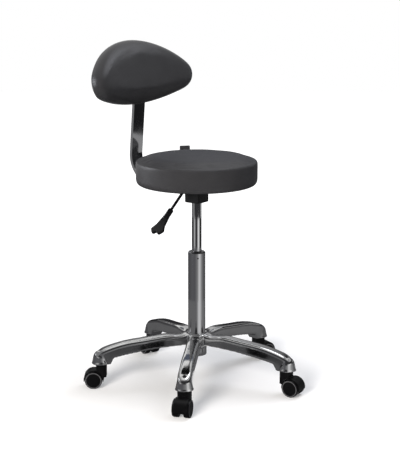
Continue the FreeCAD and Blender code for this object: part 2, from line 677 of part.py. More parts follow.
axle_half = s.wheel_gap / 2 + s.wheel_width - 3 * s.wheel_dish
for number in range(1, ARMS + 1):
    tag = "Caster%d" % number
    spot = caster_place(number)
    hood = node(caster_hood(tag), "caster_%d_hood" % number)
    hood.Placement = spot
    stem = node(caster_stem(tag), "caster_%d_stem" % number)
    stem.Placement = spot
    axle = doc.addObject("Part::Cylinder", tag + "Axle")
    tie(axle, "Radius", s.axle_radius)
    tie(axle, "Height", 2 * axle_half)
    across = Placement(Vector(s.trail.number, -axle_half.number, s.wheel_radius.number),
                       Rotation(ALONG_Y[1], ALONG_Y[0]))
    axle.Placement = spot.multiply(across)
    node(axle, "caster_%d_axle" % number)
    for side, name in ((1, "left"), (-1, "right")):
        wheel = node(caster_wheel(tag + "Wheel" + name.title()), "caster_%d_wheel_%s" % (number, name))
        seat = Placement(Vector(s.trail.number, side * s.wheel_gap.number / 2, s.wheel_radius.number),
                         Rotation(Vector(1, 0, 0), -90.0 * side))
        wheel.Placement = spot.multiply(seat)


# Mechanism plate with its ears and hinge cheeks, and the socket box

hinge_z = box_top - s.hinge_drop
plate_body = new_body("MountPlate")
plate_sketch = sketch_on(plate_body, "PlateOutline", "XY_Plane", box_top)
half_plate = s.plate_width / 2
outline(plate_sketch, [
    (-half_plate, -s.plate_front), (half_plate, -s.plate_front), (half_plate, s.plate_back),
    (-half_plate, s.plate_back)])
for bolt_side in (-1, 1):
    for bolt_y in (-s.bolt_front, s.bolt_back):
        ring(plate_sketch, s.bolt_radius + s.face_air, s.bolt_x * bolt_side, bolt_y)
padded(plate_body, plate_sketch, s.plate_thick)
plate_round = rounded("PlateRound", plate_body, s.plate_corner,
                      lambda e: upright(e) and abs(abs(e.Vertexes[0].X) - half_plate.number) < 0.01)

ear_height = s.lever_drop + s.ear_width / 2
ears = []
for side in (0, 1):
    ear_y = s.ear_gap / 2 if side else -s.ear_gap / 2 - s.ear_thick
    ears.append(block("LeverEar%d" % side, s.ear_width, s.ear_thick, ear_height,
                      -s.lever_pivot - s.ear_width / 2, ear_y, box_top - ear_height))
pivot_hole = cylinder("PivotHole", s.pivot_radius, 4 * s.ear_gap, -s.lever_pivot, -2 * s.ear_gap,
                      lever_z, ALONG_Y)
cheek_height = s.hinge_drop + s.cheek_below
cheeks = []
for side in (0, 1):
    cheek_x = s.cheek_inside if side else -s.cheek_inside - s.cheek_thick
    cheek = block("Cheek%d" % side, s.cheek_thick, s.cheek_width, cheek_height, cheek_x,
                  s.hinge_y - s.cheek_width / 2, box_top - cheek_height)
    cheeks.append(cheek)
hinge_hole = cylinder("HingeHole", s.hinge_radius, 4 * s.cheek_inside, -2 * s.cheek_inside, s.hinge_y,
                      hinge_z, ALONG_X)
plate_whole = fuse("PlateWhole", plate_round, *ears, *cheeks)
node(cut("PlateDrilled", plate_whole, pivot_hole, hinge_hole), "mount_plate")

half_box = s.box_size / 2
box_block = block("BoxBlock", s.box_size, s.box_size, s.box_height, -half_box, -half_box, box_bottom)
box_round = rounded("BoxRound", box_block, s.box_corner,
                    lambda e: min(v.Z for v in e.Vertexes) < box_top.number - 0.01)
inner = s.box_size - 2 * s.box_wall
box_room = block("BoxRoom", inner, inner, s.box_height, -inner / 2, -inner / 2, box_bottom + s.box_wall)
box_shell = cut("BoxShell", box_round, box_room)
cup = cylinder("Cup", s.cup_radius, s.cup_height, 0, 0, box_bottom)
box_whole = fuse("BoxWhole", box_shell, cup)
cone = doc.addObject("Part::Cone", "TaperBore")
tie(cone, "Radius1", s.tube_radius)
tie(cone, "Radius2", cone_radius)
tie(cone, "Height", s.tube_cone_length)
put(cone, 0, 0, box_bottom)
slot_half = s.lever_radius + s.lever_slot_air
slot_bottom = lever_z - s.lever_radius - 2 * s.lever_slot_air
lever_slot = block("LeverSlot", 2 * s.box_wall + s.box_corner, 2 * slot_half, box_top - slot_bottom,
                   -half_box - s.box_corner, -slot_half, slot_bottom)
node(cut("SocketBox", box_whole, cone, lever_slot), "socket_box")


# Seat: ply board, upholstered cushion, bolts and tee nuts

board_top = s.seat_bottom + s.board_thick
board_radius = s.seat_radius - s.board_inset
seat_top = s.seat_bottom + s.seat_thick
seat_ridge = seat_top - s.seat_ridge_drop
nut_seat = board_top - s.nut_flange_thick
bolt_spots = [(s.bolt_x * side, y) for side in (-1, 1) for y in (-s.bolt_front, s.bolt_back)]
bolts = []
tee_nuts = []
for i, (x, y) in enumerate(bolt_spots):
    bolt = turned("SeatBolt%d" % i, [
        (0, box_top - s.bolt_head_height), (s.bolt_head_radius, box_top - s.bolt_head_height),
        (s.bolt_head_radius, box_top), (s.bolt_radius, box_top), (s.bolt_radius, nut_seat),
        (0, nut_seat)])
    bolts.append(put(bolt, x, y))
    tee = turned("TeeNut%d" % i, [
        (s.bolt_radius, s.seat_bottom), (s.nut_barrel_radius, s.seat_bottom),
        (s.nut_barrel_radius, nut_seat), (s.nut_flange_radius, nut_seat),
        (s.nut_flange_radius, board_top), (s.bolt_radius, board_top)])
    tee_nuts.append(put(tee, x, y))
node(group("SeatBolts", *bolts), "seat_bolts")
node(group("TeeNuts", *tee_nuts), "seat_tee_nuts")

board = new_body("SeatBoard")
board_sketch = sketch_on(board, "BoardDisc", "XY_Plane", s.seat_bottom)
ring(board_sketch, board_radius)
for x, y in bolt_spots:
    ring(board_sketch, s.nut_barrel_radius, x, y)
padded(board, board_sketch, s.board_thick)
recess = sketch_on(board, "FlangeRecess", "XY_Plane", board_top)
for x, y in bolt_spots:
    ring(recess, s.nut_flange_radius, x, y)
pocketed(board, recess, s.nut_flange_thick)
node(board, "seat_board")

seat_side_top = seat_ridge - s.seat_shoulder
seat_cushion = turned("SeatCushion", [
    (0, board_top), (board_radius, board_top), (board_radius, s.seat_bottom),
    (s.seat_radius - s.seat_tuck, s.seat_bottom), (s.seat_radius, s.seat_bottom + s.seat_tuck),
    (s.seat_radius, seat_side_top), (s.seat_radius - s.seat_ridge_inset, seat_ridge),
    (s.seat_flat_radius, seat_top), (0, seat_top)])
node(seat_cushion, "seat_cushion")


# Rods bent in one plane

def cosine(angle):
    return Size(math.cos(math.radians(angle.number)), "cos(%s * 1deg)" % angle.text)


def sine(angle):
    return Size(math.sin(math.radians(angle.number)), "sin(%s * 1deg)" % angle.text)


def bent_path(target, x, y, angle, steps):
    """Straight runs joined by tangent arcs; each step is a run length or a (radius, turn) pair.
    Returns the points at the ends of the runs and the angle of each run."""
    x = as_size(x)
    y = as_size(y)
    angle = as_size(angle)
    runs = []
    pending = None
    last_line = None
    for step in steps:
        if isinstance(step, tuple):
            pending = step
            continue
        if pending is not None:
            radius, turn = pending
            way = 1.0 if turn.number > 0 else -1.0
            centre_x = x - sine(angle) * radius * way
            centre_y = y + cosine(angle) * radius * way
            first = angle.number - 90.0 * way
            angle = angle + turn
            x = centre_x + sine(angle) * radius * way
            y = centre_y - cosine(angle) * radius * way
            low, high = sorted((first, first + turn.number))
            centre = Vector(centre_x.number, centre_y.number, 0)
            circle = Part.Circle(centre, Vector(0, 0, 1), radius.number)
            arc = target.addGeometry(
                Part.ArcOfCircle(circle, math.radians(low), math.radians(high)), False)
        end_x = x + cosine(angle) * step
        end_y = y + sine(angle) * step
        line = target.addGeometry(Part.LineSegment(
            Vector(x.number, y.number, 0), Vector(end_x.number, end_y.number, 0)), False)
        pin_point(target, line, 1, x, y)
        pin_point(target, line, 2, end_x, end_y)
        if pending is not None:
            entry, leave = (1, 2) if way > 0 else (2, 1)
            target.addConstraint(Sketcher.Constraint("Tangent", last_line, 2, arc, entry))
            target.addConstraint(Sketcher.Constraint("Coincident", arc, leave, line, 1))
        runs.append(((x, y), (end_x, end_y), angle))
        x, y = end_x, end_y
        last_line = line
        pending = None
    return runs


def swept(body, name, profile, path):
    pipe = body.newObject("PartDesign::AdditivePipe", name)
    pipe.Profile = profile
    pipe.Spine = (path, ["Edge%d" % (i + 1) for i in range(path.GeometryCount)])
    body.Tip = pipe
    return pipe


# Height lever: bent rod on a cross pin, moulded paddle

rod_body = new_body("LiftRod")
rod_path = sketch_on(rod_body, "LiftRodPath", "XZ_Plane")
lift_runs = bent_path(rod_path, s.lever_inner, lever_z, 180, [
    s.lever_bend_at + s.lever_inner, (s.lever_bend_radius, s.lever_slope), s.lever_run])
rod_ring = sketch_on(rod_body, "LiftRodSection", "YZ_Plane", s.lever_inner)
ring(rod_ring, s.lever_radius, 0, lever_z)
swept(rod_body, "LiftRodSwept", rod_ring, rod_path)
rod_pin_hole = cylinder("LiftPinHole", s.pivot_radius + s.running_fit, 4 * s.ear_gap, -s.lever_pivot,
                        -2 * s.ear_gap, lever_z, ALONG_Y)
node(cut("LiftRodDrilled", rod_body, rod_pin_hole), "lift_rod")
pin_half = s.ear_gap / 2 + s.ear_thick
node(cylinder("LiftPin", s.pivot_radius, 2 * pin_half, -s.lever_pivot, -pin_half, lever_z, ALONG_Y),
     "lift_pin")


def paddle(tag):
    """A moulded lever paddle: round collar, narrow neck, flared blade with a notched end."""
    body = new_body(tag + "Blade")
    plan = sketch_on(body, tag + "Plan", "XY_Plane", -s.paddle_thick / 2)
    length = s.paddle_length
    end = s.paddle_end / 2
    neck = s.paddle_neck / 2
    shoulder = length - s.paddle_end * 0.72
    lobe = length - s.paddle_end * 0.3
    outline(plan, [
        (s.paddle_collar_length / 2, -neck), (s.paddle_collar_length, -neck),
        (shoulder, -(end * 0.62)), (lobe, -end), (length, -(end * 0.62)), (length, -(end * 0.3)),
        (length - s.paddle_notch, 0), (length, end * 0.3), (length, end * 0.62), (lobe, end),
        (shoulder, end * 0.62), (s.paddle_collar_length, neck), (s.paddle_collar_length / 2, neck)])
    padded(body, plan, s.paddle_thick)
    soft = rounded(tag + "Soft", body, s.paddle_soft, upright_far(s.paddle_collar_length.number * 0.75))
    collar = cylinder(tag + "Collar", s.paddle_collar, s.paddle_collar_length, 0, 0, 0, ALONG_X)
    sleeve = cylinder(tag + "Sleeve", s.paddle_neck / 2, s.paddle_grip + s.paddle_notch, 0, 0, 0, ALONG_X)
    whole = fuse(tag + "Whole", soft, collar, sleeve)
    hole = cylinder(tag + "Hole", s.lever_radius, s.paddle_grip, 0, 0, 0, ALONG_X)
    return cut(tag + "Paddle", whole, hole)


def upright_far(distance):
    """Picks the upright edges that lie beyond a distance along X."""
    return lambda edge: upright(edge) and edge.Vertexes[0].X > distance


def along(run, back):
    """The point a given length before the end of a run."""
    end, angle = run[1], run[2]
    return end[0] - cosine(angle) * back, end[1] - sine(angle) * back


lift_paddle = node(paddle("Lift"), "lift_paddle")
paddle_x, paddle_z = along(lift_runs[-1], s.paddle_grip)
lift_paddle.Placement = Placement(Vector(paddle_x.number, 0, paddle_z.number),
                                  Rotation(Vector(0, 1, 0), -lift_runs[-1][2].number))


# Back hinge: pin, swinging arm, clamp lever screwed on the pin's end

cheek_outside = s.cheek_inside + s.cheek_thick
boss_start = cheek_outside + s.lock_air
pin_end = boss_start + s.lock_boss_length - s.cheek_thick
hinge_shaft = cylinder("HingeShaft", s.hinge_radius, cheek_outside + pin_end, -cheek_outside, s.hinge_y,
                       hinge_z, ALONG_X)
hinge_head = cylinder("HingeHead", s.hinge_radius * 1.6, s.cheek_thick, -cheek_outside - s.cheek_thick,
                      s.hinge_y, hinge_z, ALONG_X)
node(fuse("HingePin", hinge_shaft, hinge_head), "hinge_pin")

run_z = box_top - s.bar_drop - s.bar_thick / 2
arm_top = run_z - s.bar_thick / 2
arm_half = s.cheek_inside - s.lug_air
lug_bottom = hinge_z - s.lug_below
arm_plate = block("ArmPlate", 2 * arm_half, s.arm_plate_back - s.arm_plate_front, s.arm_plate_thick,
                  -arm_half, s.arm_plate_front, arm_top - s.arm_plate_thick)
lugs = []
for side in (0, 1):
    lug_x = arm_half - s.lug_thick if side else -arm_half
    lugs.append(block("Lug%d" % side, s.lug_thick, s.lug_length, s.lug_below + s.lug_above, lug_x,
                      s.hinge_y - s.lug_front, lug_bottom))
lug_bore = cylinder("LugBore", s.hinge_radius + s.running_fit, 4 * s.cheek_inside, -2 * s.cheek_inside,
                    s.hinge_y, hinge_z, ALONG_X)
bar_bolts = []
bar_nuts = []
nut_top = arm_top - s.arm_plate_thick
for i, bolt_y in enumerate((s.bar_bolt_1, s.bar_bolt_2)):
    bar_top_z = run_z + s.bar_thick / 2
    head_drop = s.bar_bolt_head - s.bar_bolt_radius
    bolt = turned("BarBolt%d" % i, [
        (0, bar_top_z), (s.bar_bolt_head, bar_top_z), (s.bar_bolt_radius, bar_top_z - head_drop),
        (s.bar_bolt_radius, nut_top - s.bar_nut_height - 2), (0, nut_top - s.bar_nut_height - 2)])
    bar_bolts.append(put(bolt, 0, bolt_y))
    hexagon = doc.addObject("Part::Prism", "BarNutHex%d" % i)
    hexagon.Polygon = 6
    tie(hexagon, "Circumradius", s.bar_nut_across / math.sqrt(3.0))
    tie(hexagon, "Height", s.bar_nut_height)
    put(hexagon, 0, bolt_y, nut_top - s.bar_nut_height)
    thread = cylinder("BarNutBore%d" % i, s.bar_bolt_radius, s.bar_nut_height, 0, bolt_y,
                      nut_top - s.bar_nut_height)
    bar_nuts.append(cut("BarNut%d" % i, hexagon, thread))
arm_holes = [cylinder("ArmHole%d" % i, s.bar_bolt_radius, 2 * s.arm_plate_thick, 0, y,
                      arm_top - 2 * s.arm_plate_thick)
             for i, y in enumerate((s.bar_bolt_1, s.bar_bolt_2))]
node(cut("BackArm", fuse("ArmWhole", arm_plate, *lugs), lug_bore, *arm_holes), "back_arm")
bar_bolt_group = node(group("BarBolts", *bar_bolts), "bar_bolts")
node(group("BarNuts", *bar_nuts), "bar_nuts")

lock_body = new_body("LockRod")
lock_path = sketch_on(lock_body, "LockRodPath", "XZ_Plane")
lock_runs = bent_path(lock_path, s.lever_radius, 0, 0, [
    s.seat_radius - s.lock_run_in - s.lever_radius, (s.lock_bend_radius, s.lock_rise), s.lock_stem])
lock_ring = sketch_on(lock_body, "LockRodSection", "YZ_Plane", s.lever_radius)
ring(lock_ring, s.lever_radius)
swept(lock_body, "LockRodSwept", lock_ring, lock_path)
boss_middle = boss_start + s.lock_boss_length / 2
lock_spot = Placement(Vector(boss_middle.number, s.hinge_y.number, hinge_z.number),
                      Rotation(Vector(0, 0, 1), s.lock_yaw.number))
lock_body.Placement = lock_spot
lock_boss = cylinder("LockBoss", s.lock_boss_radius, s.lock_boss_length, boss_start, s.hinge_y, hinge_z,
                     ALONG_X)
lock_bore = cylinder("LockBore", s.hinge_radius + s.running_fit,
                     s.lock_boss_length - s.cheek_thick + s.lock_air, boss_start, s.hinge_y, hinge_z,
                     ALONG_X)
node(cut("LockLever", fuse("LockWhole", lock_body, lock_boss), lock_bore), "lock_rod")


def square_tab(tag):
    """A plain moulded grip: round collar and a flat blade with a straight end."""
    blade = block(tag + "Blade", s.paddle_length - s.paddle_collar_length / 2, s.tab_width, s.tab_thick,
                  s.paddle_collar_length / 2, -s.tab_width / 2, -s.tab_thick / 2)
    soft = rounded(tag + "Soft", blade, s.tab_soft, upright)
    sleeve = cylinder(tag + "Sleeve", s.paddle_neck / 2, s.paddle_grip + s.paddle_notch, 0, 0, 0, ALONG_X)
    hole = cylinder(tag + "Hole", s.lever_radius, s.paddle_grip, 0, 0, 0, ALONG_X)
    return cut(tag + "Tab", fuse(tag + "Whole", soft, sleeve), hole)


lock_paddle = node(square_tab("Lock"), "lock_paddle")
lock_x, lock_z = along(lock_runs[-1], s.paddle_grip)
lock_paddle.Placement = lock_spot.multiply(Placement(
    Vector(lock_x.number, 0, lock_z.number), Rotation(Vector(0, 1, 0), -lock_runs[-1][2].number)))


# Back bar, one flat strip bent up from under the seat into the pad

bar_body = new_body("BackBar")
bar_path = sketch_on(bar_body, "BarPath", "YZ_Plane")
bar_runs = bent_path(bar_path, s.bar_start, run_z, 0, [
    s.seat_radius - s.bar_bend_in - s.bar_start, (s.bar_bend_radius, s.bar_lean + 90), s.bar_upright,
    (s.bar_top_bend, -(s.bar_lean + s.pad_recline)), s.bar_head])
bar_section = sketch_on(bar_body, "BarSection", "XZ_Plane", -s.bar_start)
half_bar = s.bar_width / 2
outline(bar_section, [
    (-half_bar, run_z - s.bar_thick / 2), (half_bar, run_z - s.bar_thick / 2),
    (half_bar, run_z + s.bar_thick / 2), (-half_bar, run_z + s.bar_thick / 2)])
swept(bar_body, "BarSwept", bar_section, bar_path)

# The pad's own frame: origin on the bar head's front face, x across, y back, z up the head
head_start, head_end, head_angle = bar_runs[-1]
front_y = head_start[0] - sine(head_angle) * s.bar_thick / 2 + cosine(head_angle) * s.pad_seat
front_z = head_start[1] + cosine(head_angle) * s.bar_thick / 2 + sine(head_angle) * s.pad_seat
pad_spot = Placement(Vector(0, front_y.number, front_z.number),
                     Rotation(Vector(1, 0, 0), head_angle.number - 90.0))


def behind_wall(tag, back):
    """Everything in front of an upright tube wall that lies a distance behind the bar head's face."""
    low = -2 * s.pad_below
    return cylinder(tag + "Outer", s.pad_curve + back, 2 * s.pad_above - low, 0, -s.pad_curve, low)


def pad_outline(target, half_width, above, below, side_radius, side_height):
    """Four tangent arcs: a domed top, two tight ends and a flatter bottom."""
    a, t, b = half_width.number, above.number, below.number
    r, e = side_radius.number, side_height.number
    c = a - r
    top_radius = (c * c + (t - e) ** 2 - r * r) / (2 * (t - e - r))
    low_radius = (c * c + (b + e) ** 2 - r * r) / (2 * (b + e - r))
    top_y = t - top_radius
    low_y = low_radius - b
    up = Vector(0, 0, 1)
    top_angle = math.atan2(e - top_y, c)
    low_angle = math.atan2(e - low_y, c)
    target.addGeometry(Part.ArcOfCircle(
        Part.Circle(Vector(0, top_y, 0), up, top_radius), top_angle, math.pi - top_angle), False)
    target.addGeometry(Part.ArcOfCircle(
        Part.Circle(Vector(-c, e, 0), up, r), math.pi - top_angle, math.pi - low_angle), False)
    low_circle = Part.Circle(Vector(0, low_y, 0), up, low_radius)
    target.addGeometry(Part.ArcOfCircle(low_circle, math.pi - low_angle, 2 * math.pi + low_angle), False)
    target.addGeometry(Part.ArcOfCircle(
        Part.Circle(Vector(c, e, 0), up, r), low_angle, top_angle), False)
    for first, second in ((0, 1), (1, 2), (2, 3), (3, 0)):
        target.addConstraint(Sketcher.Constraint("Tangent", first, 2, second, 1))
    centre = half_width - side_radius
    pin_point(target, 3, 3, centre, side_height)
    pin_point(target, 1, 3, -centre, side_height)
    index = target.addConstraint(Sketcher.Constraint("Radius", 3, r))
    target.setExpression("Constraints[%d]" % index, side_radius.text)
    target.addConstraint(Sketcher.Constraint("Equal", 3, 1))
    for arc, height in ((0, above), (2, -below)):
        mark = target.addGeometry(Part.Point(Vector(0, height.number, 0)), True)
        pin_point(target, mark, 1, 0, height)
        target.addConstraint(Sketcher.Constraint("PointOnObject", mark, 1, arc))


def pad_block(tag, margin):
    body = new_body(tag + "Block")
    plan = sketch_on(body, tag + "Plan", "XZ_Plane")
    pad_outline(plan, s.pad_half_width - margin, s.pad_above - margin, s.pad_below - margin,
                s.pad_side_radius - margin, s.pad_side_height)
    padded(body, plan, 2 * s.pad_half_width, both_ways=True)
    return body


pad_ahead = s.pad_thick - s.pad_behind
crown = doc.addObject("Part::Torus", "PadCrown")
crown_ring = s.pad_front_curve + s.pad_crown_radius
crown_y = -s.pad_front_curve - pad_ahead
crown_z = (s.pad_above - s.pad_below) / 2
tie(crown, "Radius1", crown_ring)
tie(crown, "Radius2", s.pad_crown_radius)
put(crown, 0, crown_y, crown_z)
pad_slab = common("PadSlab", pad_block("Pad", as_size(0)), behind_wall("Pad", s.pad_behind))
pad_solid = common("PadSolid", pad_slab, crown)


def edge_points(edge):
    middle = edge.valueAt((edge.FirstParameter + edge.LastParameter) / 2)
    return [middle] + [v.Point for v in edge.Vertexes]


def on_crown(edge):
    """Picks the edges of the crowned front."""
    gaps = []
    for p in edge_points(edge):
        outward = math.hypot(p.x, p.y - crown_y.number) - crown_ring.number
        gaps.append(math.hypot(outward, p.z - crown_z.number) - s.pad_crown_radius.number)
    return all(abs(gap) < 0.05 for gap in gaps)


pad_soft = rounded("PadFrontRound", pad_solid, s.pad_front_round, on_crown)
board_slab = common("BackBoardSlab", pad_block("BackBoard", s.back_board_margin),
                    behind_wall("BackBoard", as_size(0)))
board_front = cylinder("BackBoardInner", s.pad_curve - s.back_board_thick, 4 * s.pad_above, 0,
                       -s.pad_curve, -2 * s.pad_above)
back_board = cut("BackBoardSolid", board_slab, board_front)
pad_bolts = []
for i, height in enumerate((s.pad_bolt_low, s.pad_bolt_high)):
    bolt = turned("PadBolt%d" % i, [
        (0, -s.back_board_thick), (s.bar_bolt_radius, -s.back_board_thick),
        (s.bar_bolt_radius, s.bar_thick), (s.bar_bolt_head, s.bar_thick),
        (s.bar_bolt_head, s.bar_thick + s.bar_bolt_radius), (0, s.bar_thick + s.bar_bolt_radius)])
    pad_bolts.append(put(bolt, 0, 0, height - s.pad_seat, ALONG_Y[0], ALONG_Y[1]))
pad_bolt_group = group("PadBolts", *pad_bolts)
head_room = block("HeadRoom", s.bar_width, (s.back_board_thick + s.bar_thick) / 2, s.bar_head,
                  -half_bar, -s.back_board_thick / 2, -s.pad_seat)
pad_room = group("PadRoom", head_room)
for piece in (back_board, pad_soft, pad_bolt_group, pad_room):
    piece.Placement = pad_spot
board_drilled = cut("BackBoardDrilled", back_board, pad_bolt_group)
bar_drilled = cut("BackBarDrilled", bar_body, bar_bolt_group, pad_bolt_group)
pad_hollow = cut("BackPad", pad_soft, back_board, pad_room, bar_body, pad_bolt_group)
node(bar_drilled, "back_bar")
node(board_drilled, "back_board")
node(pad_bolt_group, "pad_bolts")
node(pad_hollow, "back_pad")


# Every object must have come out whole before anything is written

doc.recompute()
faults = [o.Name for o in doc.Objects if "Invalid" in o.State or "Error" in o.State]
for piece in nodes:
    if piece.Shape.isNull() or not piece.Shape.isValid() or not piece.Shape.Solids:
        faults.append(piece.Label)
if faults:
    raise RuntimeError("failed: " + ", ".join(faults))
os.makedirs("parts", exist_ok=True)
for piece in nodes:
    piece.Shape.exportStep("parts/%s.step" % piece.Label)
print(len(nodes), "pieces,", sum(len(p.Shape.Solids) for p in nodes), "solids")
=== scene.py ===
"""Looks of a rolling stool with a backrest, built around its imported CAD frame."""

import math

import bmesh
import bpy
from bpy.props import FloatProperty, FloatVectorProperty, IntProperty, PointerProperty
from mathutils import Matrix, Vector


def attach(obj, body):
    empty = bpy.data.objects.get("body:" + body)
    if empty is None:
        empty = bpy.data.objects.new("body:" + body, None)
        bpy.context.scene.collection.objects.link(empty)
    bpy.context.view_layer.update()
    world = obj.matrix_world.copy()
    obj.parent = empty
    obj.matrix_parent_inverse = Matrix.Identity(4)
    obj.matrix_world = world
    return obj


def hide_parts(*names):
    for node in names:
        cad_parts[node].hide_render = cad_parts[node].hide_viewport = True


bl_info = {
    "name": "Rolling stool looks",
    "version": (1, 0, 0),
    "blender": (4, 2, 0),
    "location": "View3D > Sidebar > Stool",
    "description": "Upholstery, casters, levers, finishes and stage of a rolling stool",
    "category": "Add Mesh",
}

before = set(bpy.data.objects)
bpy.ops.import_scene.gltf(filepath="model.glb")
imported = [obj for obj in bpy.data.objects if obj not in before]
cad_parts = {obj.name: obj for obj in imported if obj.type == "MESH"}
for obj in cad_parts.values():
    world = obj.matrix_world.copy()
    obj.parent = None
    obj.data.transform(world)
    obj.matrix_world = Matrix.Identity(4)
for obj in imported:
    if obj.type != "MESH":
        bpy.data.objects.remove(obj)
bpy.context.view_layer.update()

# Which finish each piece of the frame gets
FINISHES = {
    "Polished cast aluminium": ["star_base"],
    "Chromed steel tube": ["column_tube", "pressure_tube"],
    "Chromed flat bar": ["back_bar"],
    "Acetal bush": ["guide_bush", "rod_guide", "piston"],
    "Black powder coat": ["mount_plate", "socket_box", "back_arm", "lift_rod", "lock_rod"],
    "Zinc plated steel": [
        "bearing_lower_race", "bearing_upper_race", "bearing_balls", "piston_rod", "rod_clip",
        "release_pin", "seat_bolts", "seat_tee_nuts", "lift_pin", "hinge_pin", "bar_bolts",
        "bar_nuts", "pad_bolts",
    ],
    "Bumper rubber": ["bumper"],
    "Black stained plywood": ["seat_board"],
    "Birch plywood": ["back_board"],
    "Upholstery vinyl": ["seat_cushion"],
    "Backrest vinyl": ["back_pad"],
    "Moulded black ABS": ["lift_paddle", "lock_paddle"],
}
CASTER_FINISHES = {
    "Moulded black nylon": ["hood", "wheel_left", "wheel_right"],
    "Zinc plated steel": ["stem", "axle"],
}
CASTER_COUNT = 5

# Where the tube is pressed in to hold its bush; the dent isn't modelled, its shade is painted there as a
# dark spot
CRIMP_SPOT = (-0.0181, -0.0172, 0.372)
CRIMP_RADIUS = 0.003

# How each caster is turned, in degrees
CASTER_HEADINGS = (-87, -25, 67, 125, 200)

# Voxel and rounds of smoothing that soften each moulded or cast copy
CASTING_SOFTNESS = (0.0021, 14)
GRIP_SOFTNESS = (0.0008, 6)
HOOD_SOFTNESS = (0.0009, 5)

# Wheel from its inner face: in from the tread and out from that face
WHEEL_INSIDE = [(0.004, 0.0001), (0.0012, 0.0003), (0.0003, 0.0009), (0.0, 0.002)]
# Then in from the tread and back from the outer face
WHEEL_OUTSIDE = [
    (0.0, 0.003), (0.0003, 0.0014), (0.0010, 0.0005), (0.0018, 0.0001), (0.0024, 0.0), (0.0040, 0.0),
    (0.0046, 0.0004), (0.0050, 0.0012), (0.0054, 0.0018), (0.0080, 0.0016),
]
# Then the disc, by its radius and back from the outer face
WHEEL_DISC = [(0.010, 0.0010), (0.005, 0.0008), (0.001, 0.0008)]
WHEEL_RING = (0.0016, 0.0048)
WHEEL_SEGMENTS = 64
WHEEL_CREASE = math.radians(35)

# Cloth of the covers, for a thin vinyl that is blown up from inside
COVER_CLOTH = {
    "quality": 6,
    "mass": 0.3,
    "tension_stiffness": 20,
    "compression_stiffness": 20,
    "shear_stiffness": 8,
    "bending_stiffness": 2,
    "use_pressure": True,
    "uniform_pressure_force": 4.0,
}
CLOTH_FRAMES = 20

# Seat cover folded under the board: out from the fold's radius and up from the foot
SEAT_FOLD = [(-0.004, 0.008), (0.0, 0.002), (0.0, -0.0008), (0.010, -0.0010)]
# Lower edge: in from the side and up from the foot
SEAT_LOWER = [(0.011, -0.0008), (0.006, 0.001), (0.002, 0.005), (0.0, 0.012)]
SEAT_SIDE_STEPS = 7
SEAT_SIDE_STEP = 0.006
# Upper edge: in from the side and down from the ridge
SEAT_UPPER = [
    (0.0002, 0.0076), (0.0008, 0.0054), (0.0016, 0.0039), (0.0026, 0.0026), (0.0040, 0.0015),
    (0.0062, 0.0005), (0.0085, 0.0),
]
SEAT_FLAT_RADIUS = 0.100
SEAT_CROWN_STEPS = 9
SEAT_FLAT_STEPS = 12
SEAT_FLAT_RISE = 0.00001
SEAT_STAPLE_HEIGHT = 0.003
SEAT_STAPLE_RADIUS = 0.139
SEAT_STAPLE_DEPTH = 0.02
SEAT_SEAM_DROP = 0.0026
SEAT_SEAM_PUFF = 0.7
SEAT_SEAM_HALF = 0.0007
SEAT_SEAM_DEPTH = 0.0008
SEAT_SEAM_RADIUS = 0.16
SEAT_ROUNDS = 2

# Pad: its middle above its origin, its mesh, and the angle from the middle at which the rounding starts
PAD_MIDDLE = 0.03
PAD_SEGMENTS = 220
PAD_RINGS = 56
PAD_FACE_ANGLE = 55
PAD_FARTHEST = 0.4
PAD_HALVINGS = 40
PAD_STAPLE_DEPTH = 0.02
PAD_STAPLE_HALF = 0.06
PAD_ROUNDS = 14

# Gathers round the pad's ends, only behind and low down
GATHER_DEPTH = 0.0007
GATHER_SPACING = 0.016
GATHER_START = 0.030
GATHER_RUN = 0.020
GATHER_BACK = 0.012
GATHER_BACK_HALF = 0.022
GATHER_TOP = 0.035
GATHER_FADE = 0.02

# Lamps by place seen from the camera, size, power and tint
LAMPS = [
    ("Key", (-1.2, -2.8, 1.5), 1.1, 128.0, "#fffaf5"),
    ("Top", (1.0, 0.5, 2.6), 1.6, 22.0, "#f2f5ff"),
    ("Rim", (1.6, 1.2, 2.0), 1.2, 14.0, "#f4f7ff"),
    ("End", (-2.1, 0.45, 1.0), 0.6, 40.0, "#f6f8ff"),
]
LAMP_AIM = (0, 0, 0.45)
SKY_LEVEL = 0.30

# Floor, and how much of its own white glow it adds at distances from the stool, farthest first: less glow
# near the stool paints shade under it
FLOOR_RADIUS = 8.0
FLOOR_GLOW_SCALE = 0.4
FLOOR_GLOW_AND_SHADE = [(2.0, 1.0), (0.5, 0.38), (0.32, 0.23), (0.15, 0.10)]
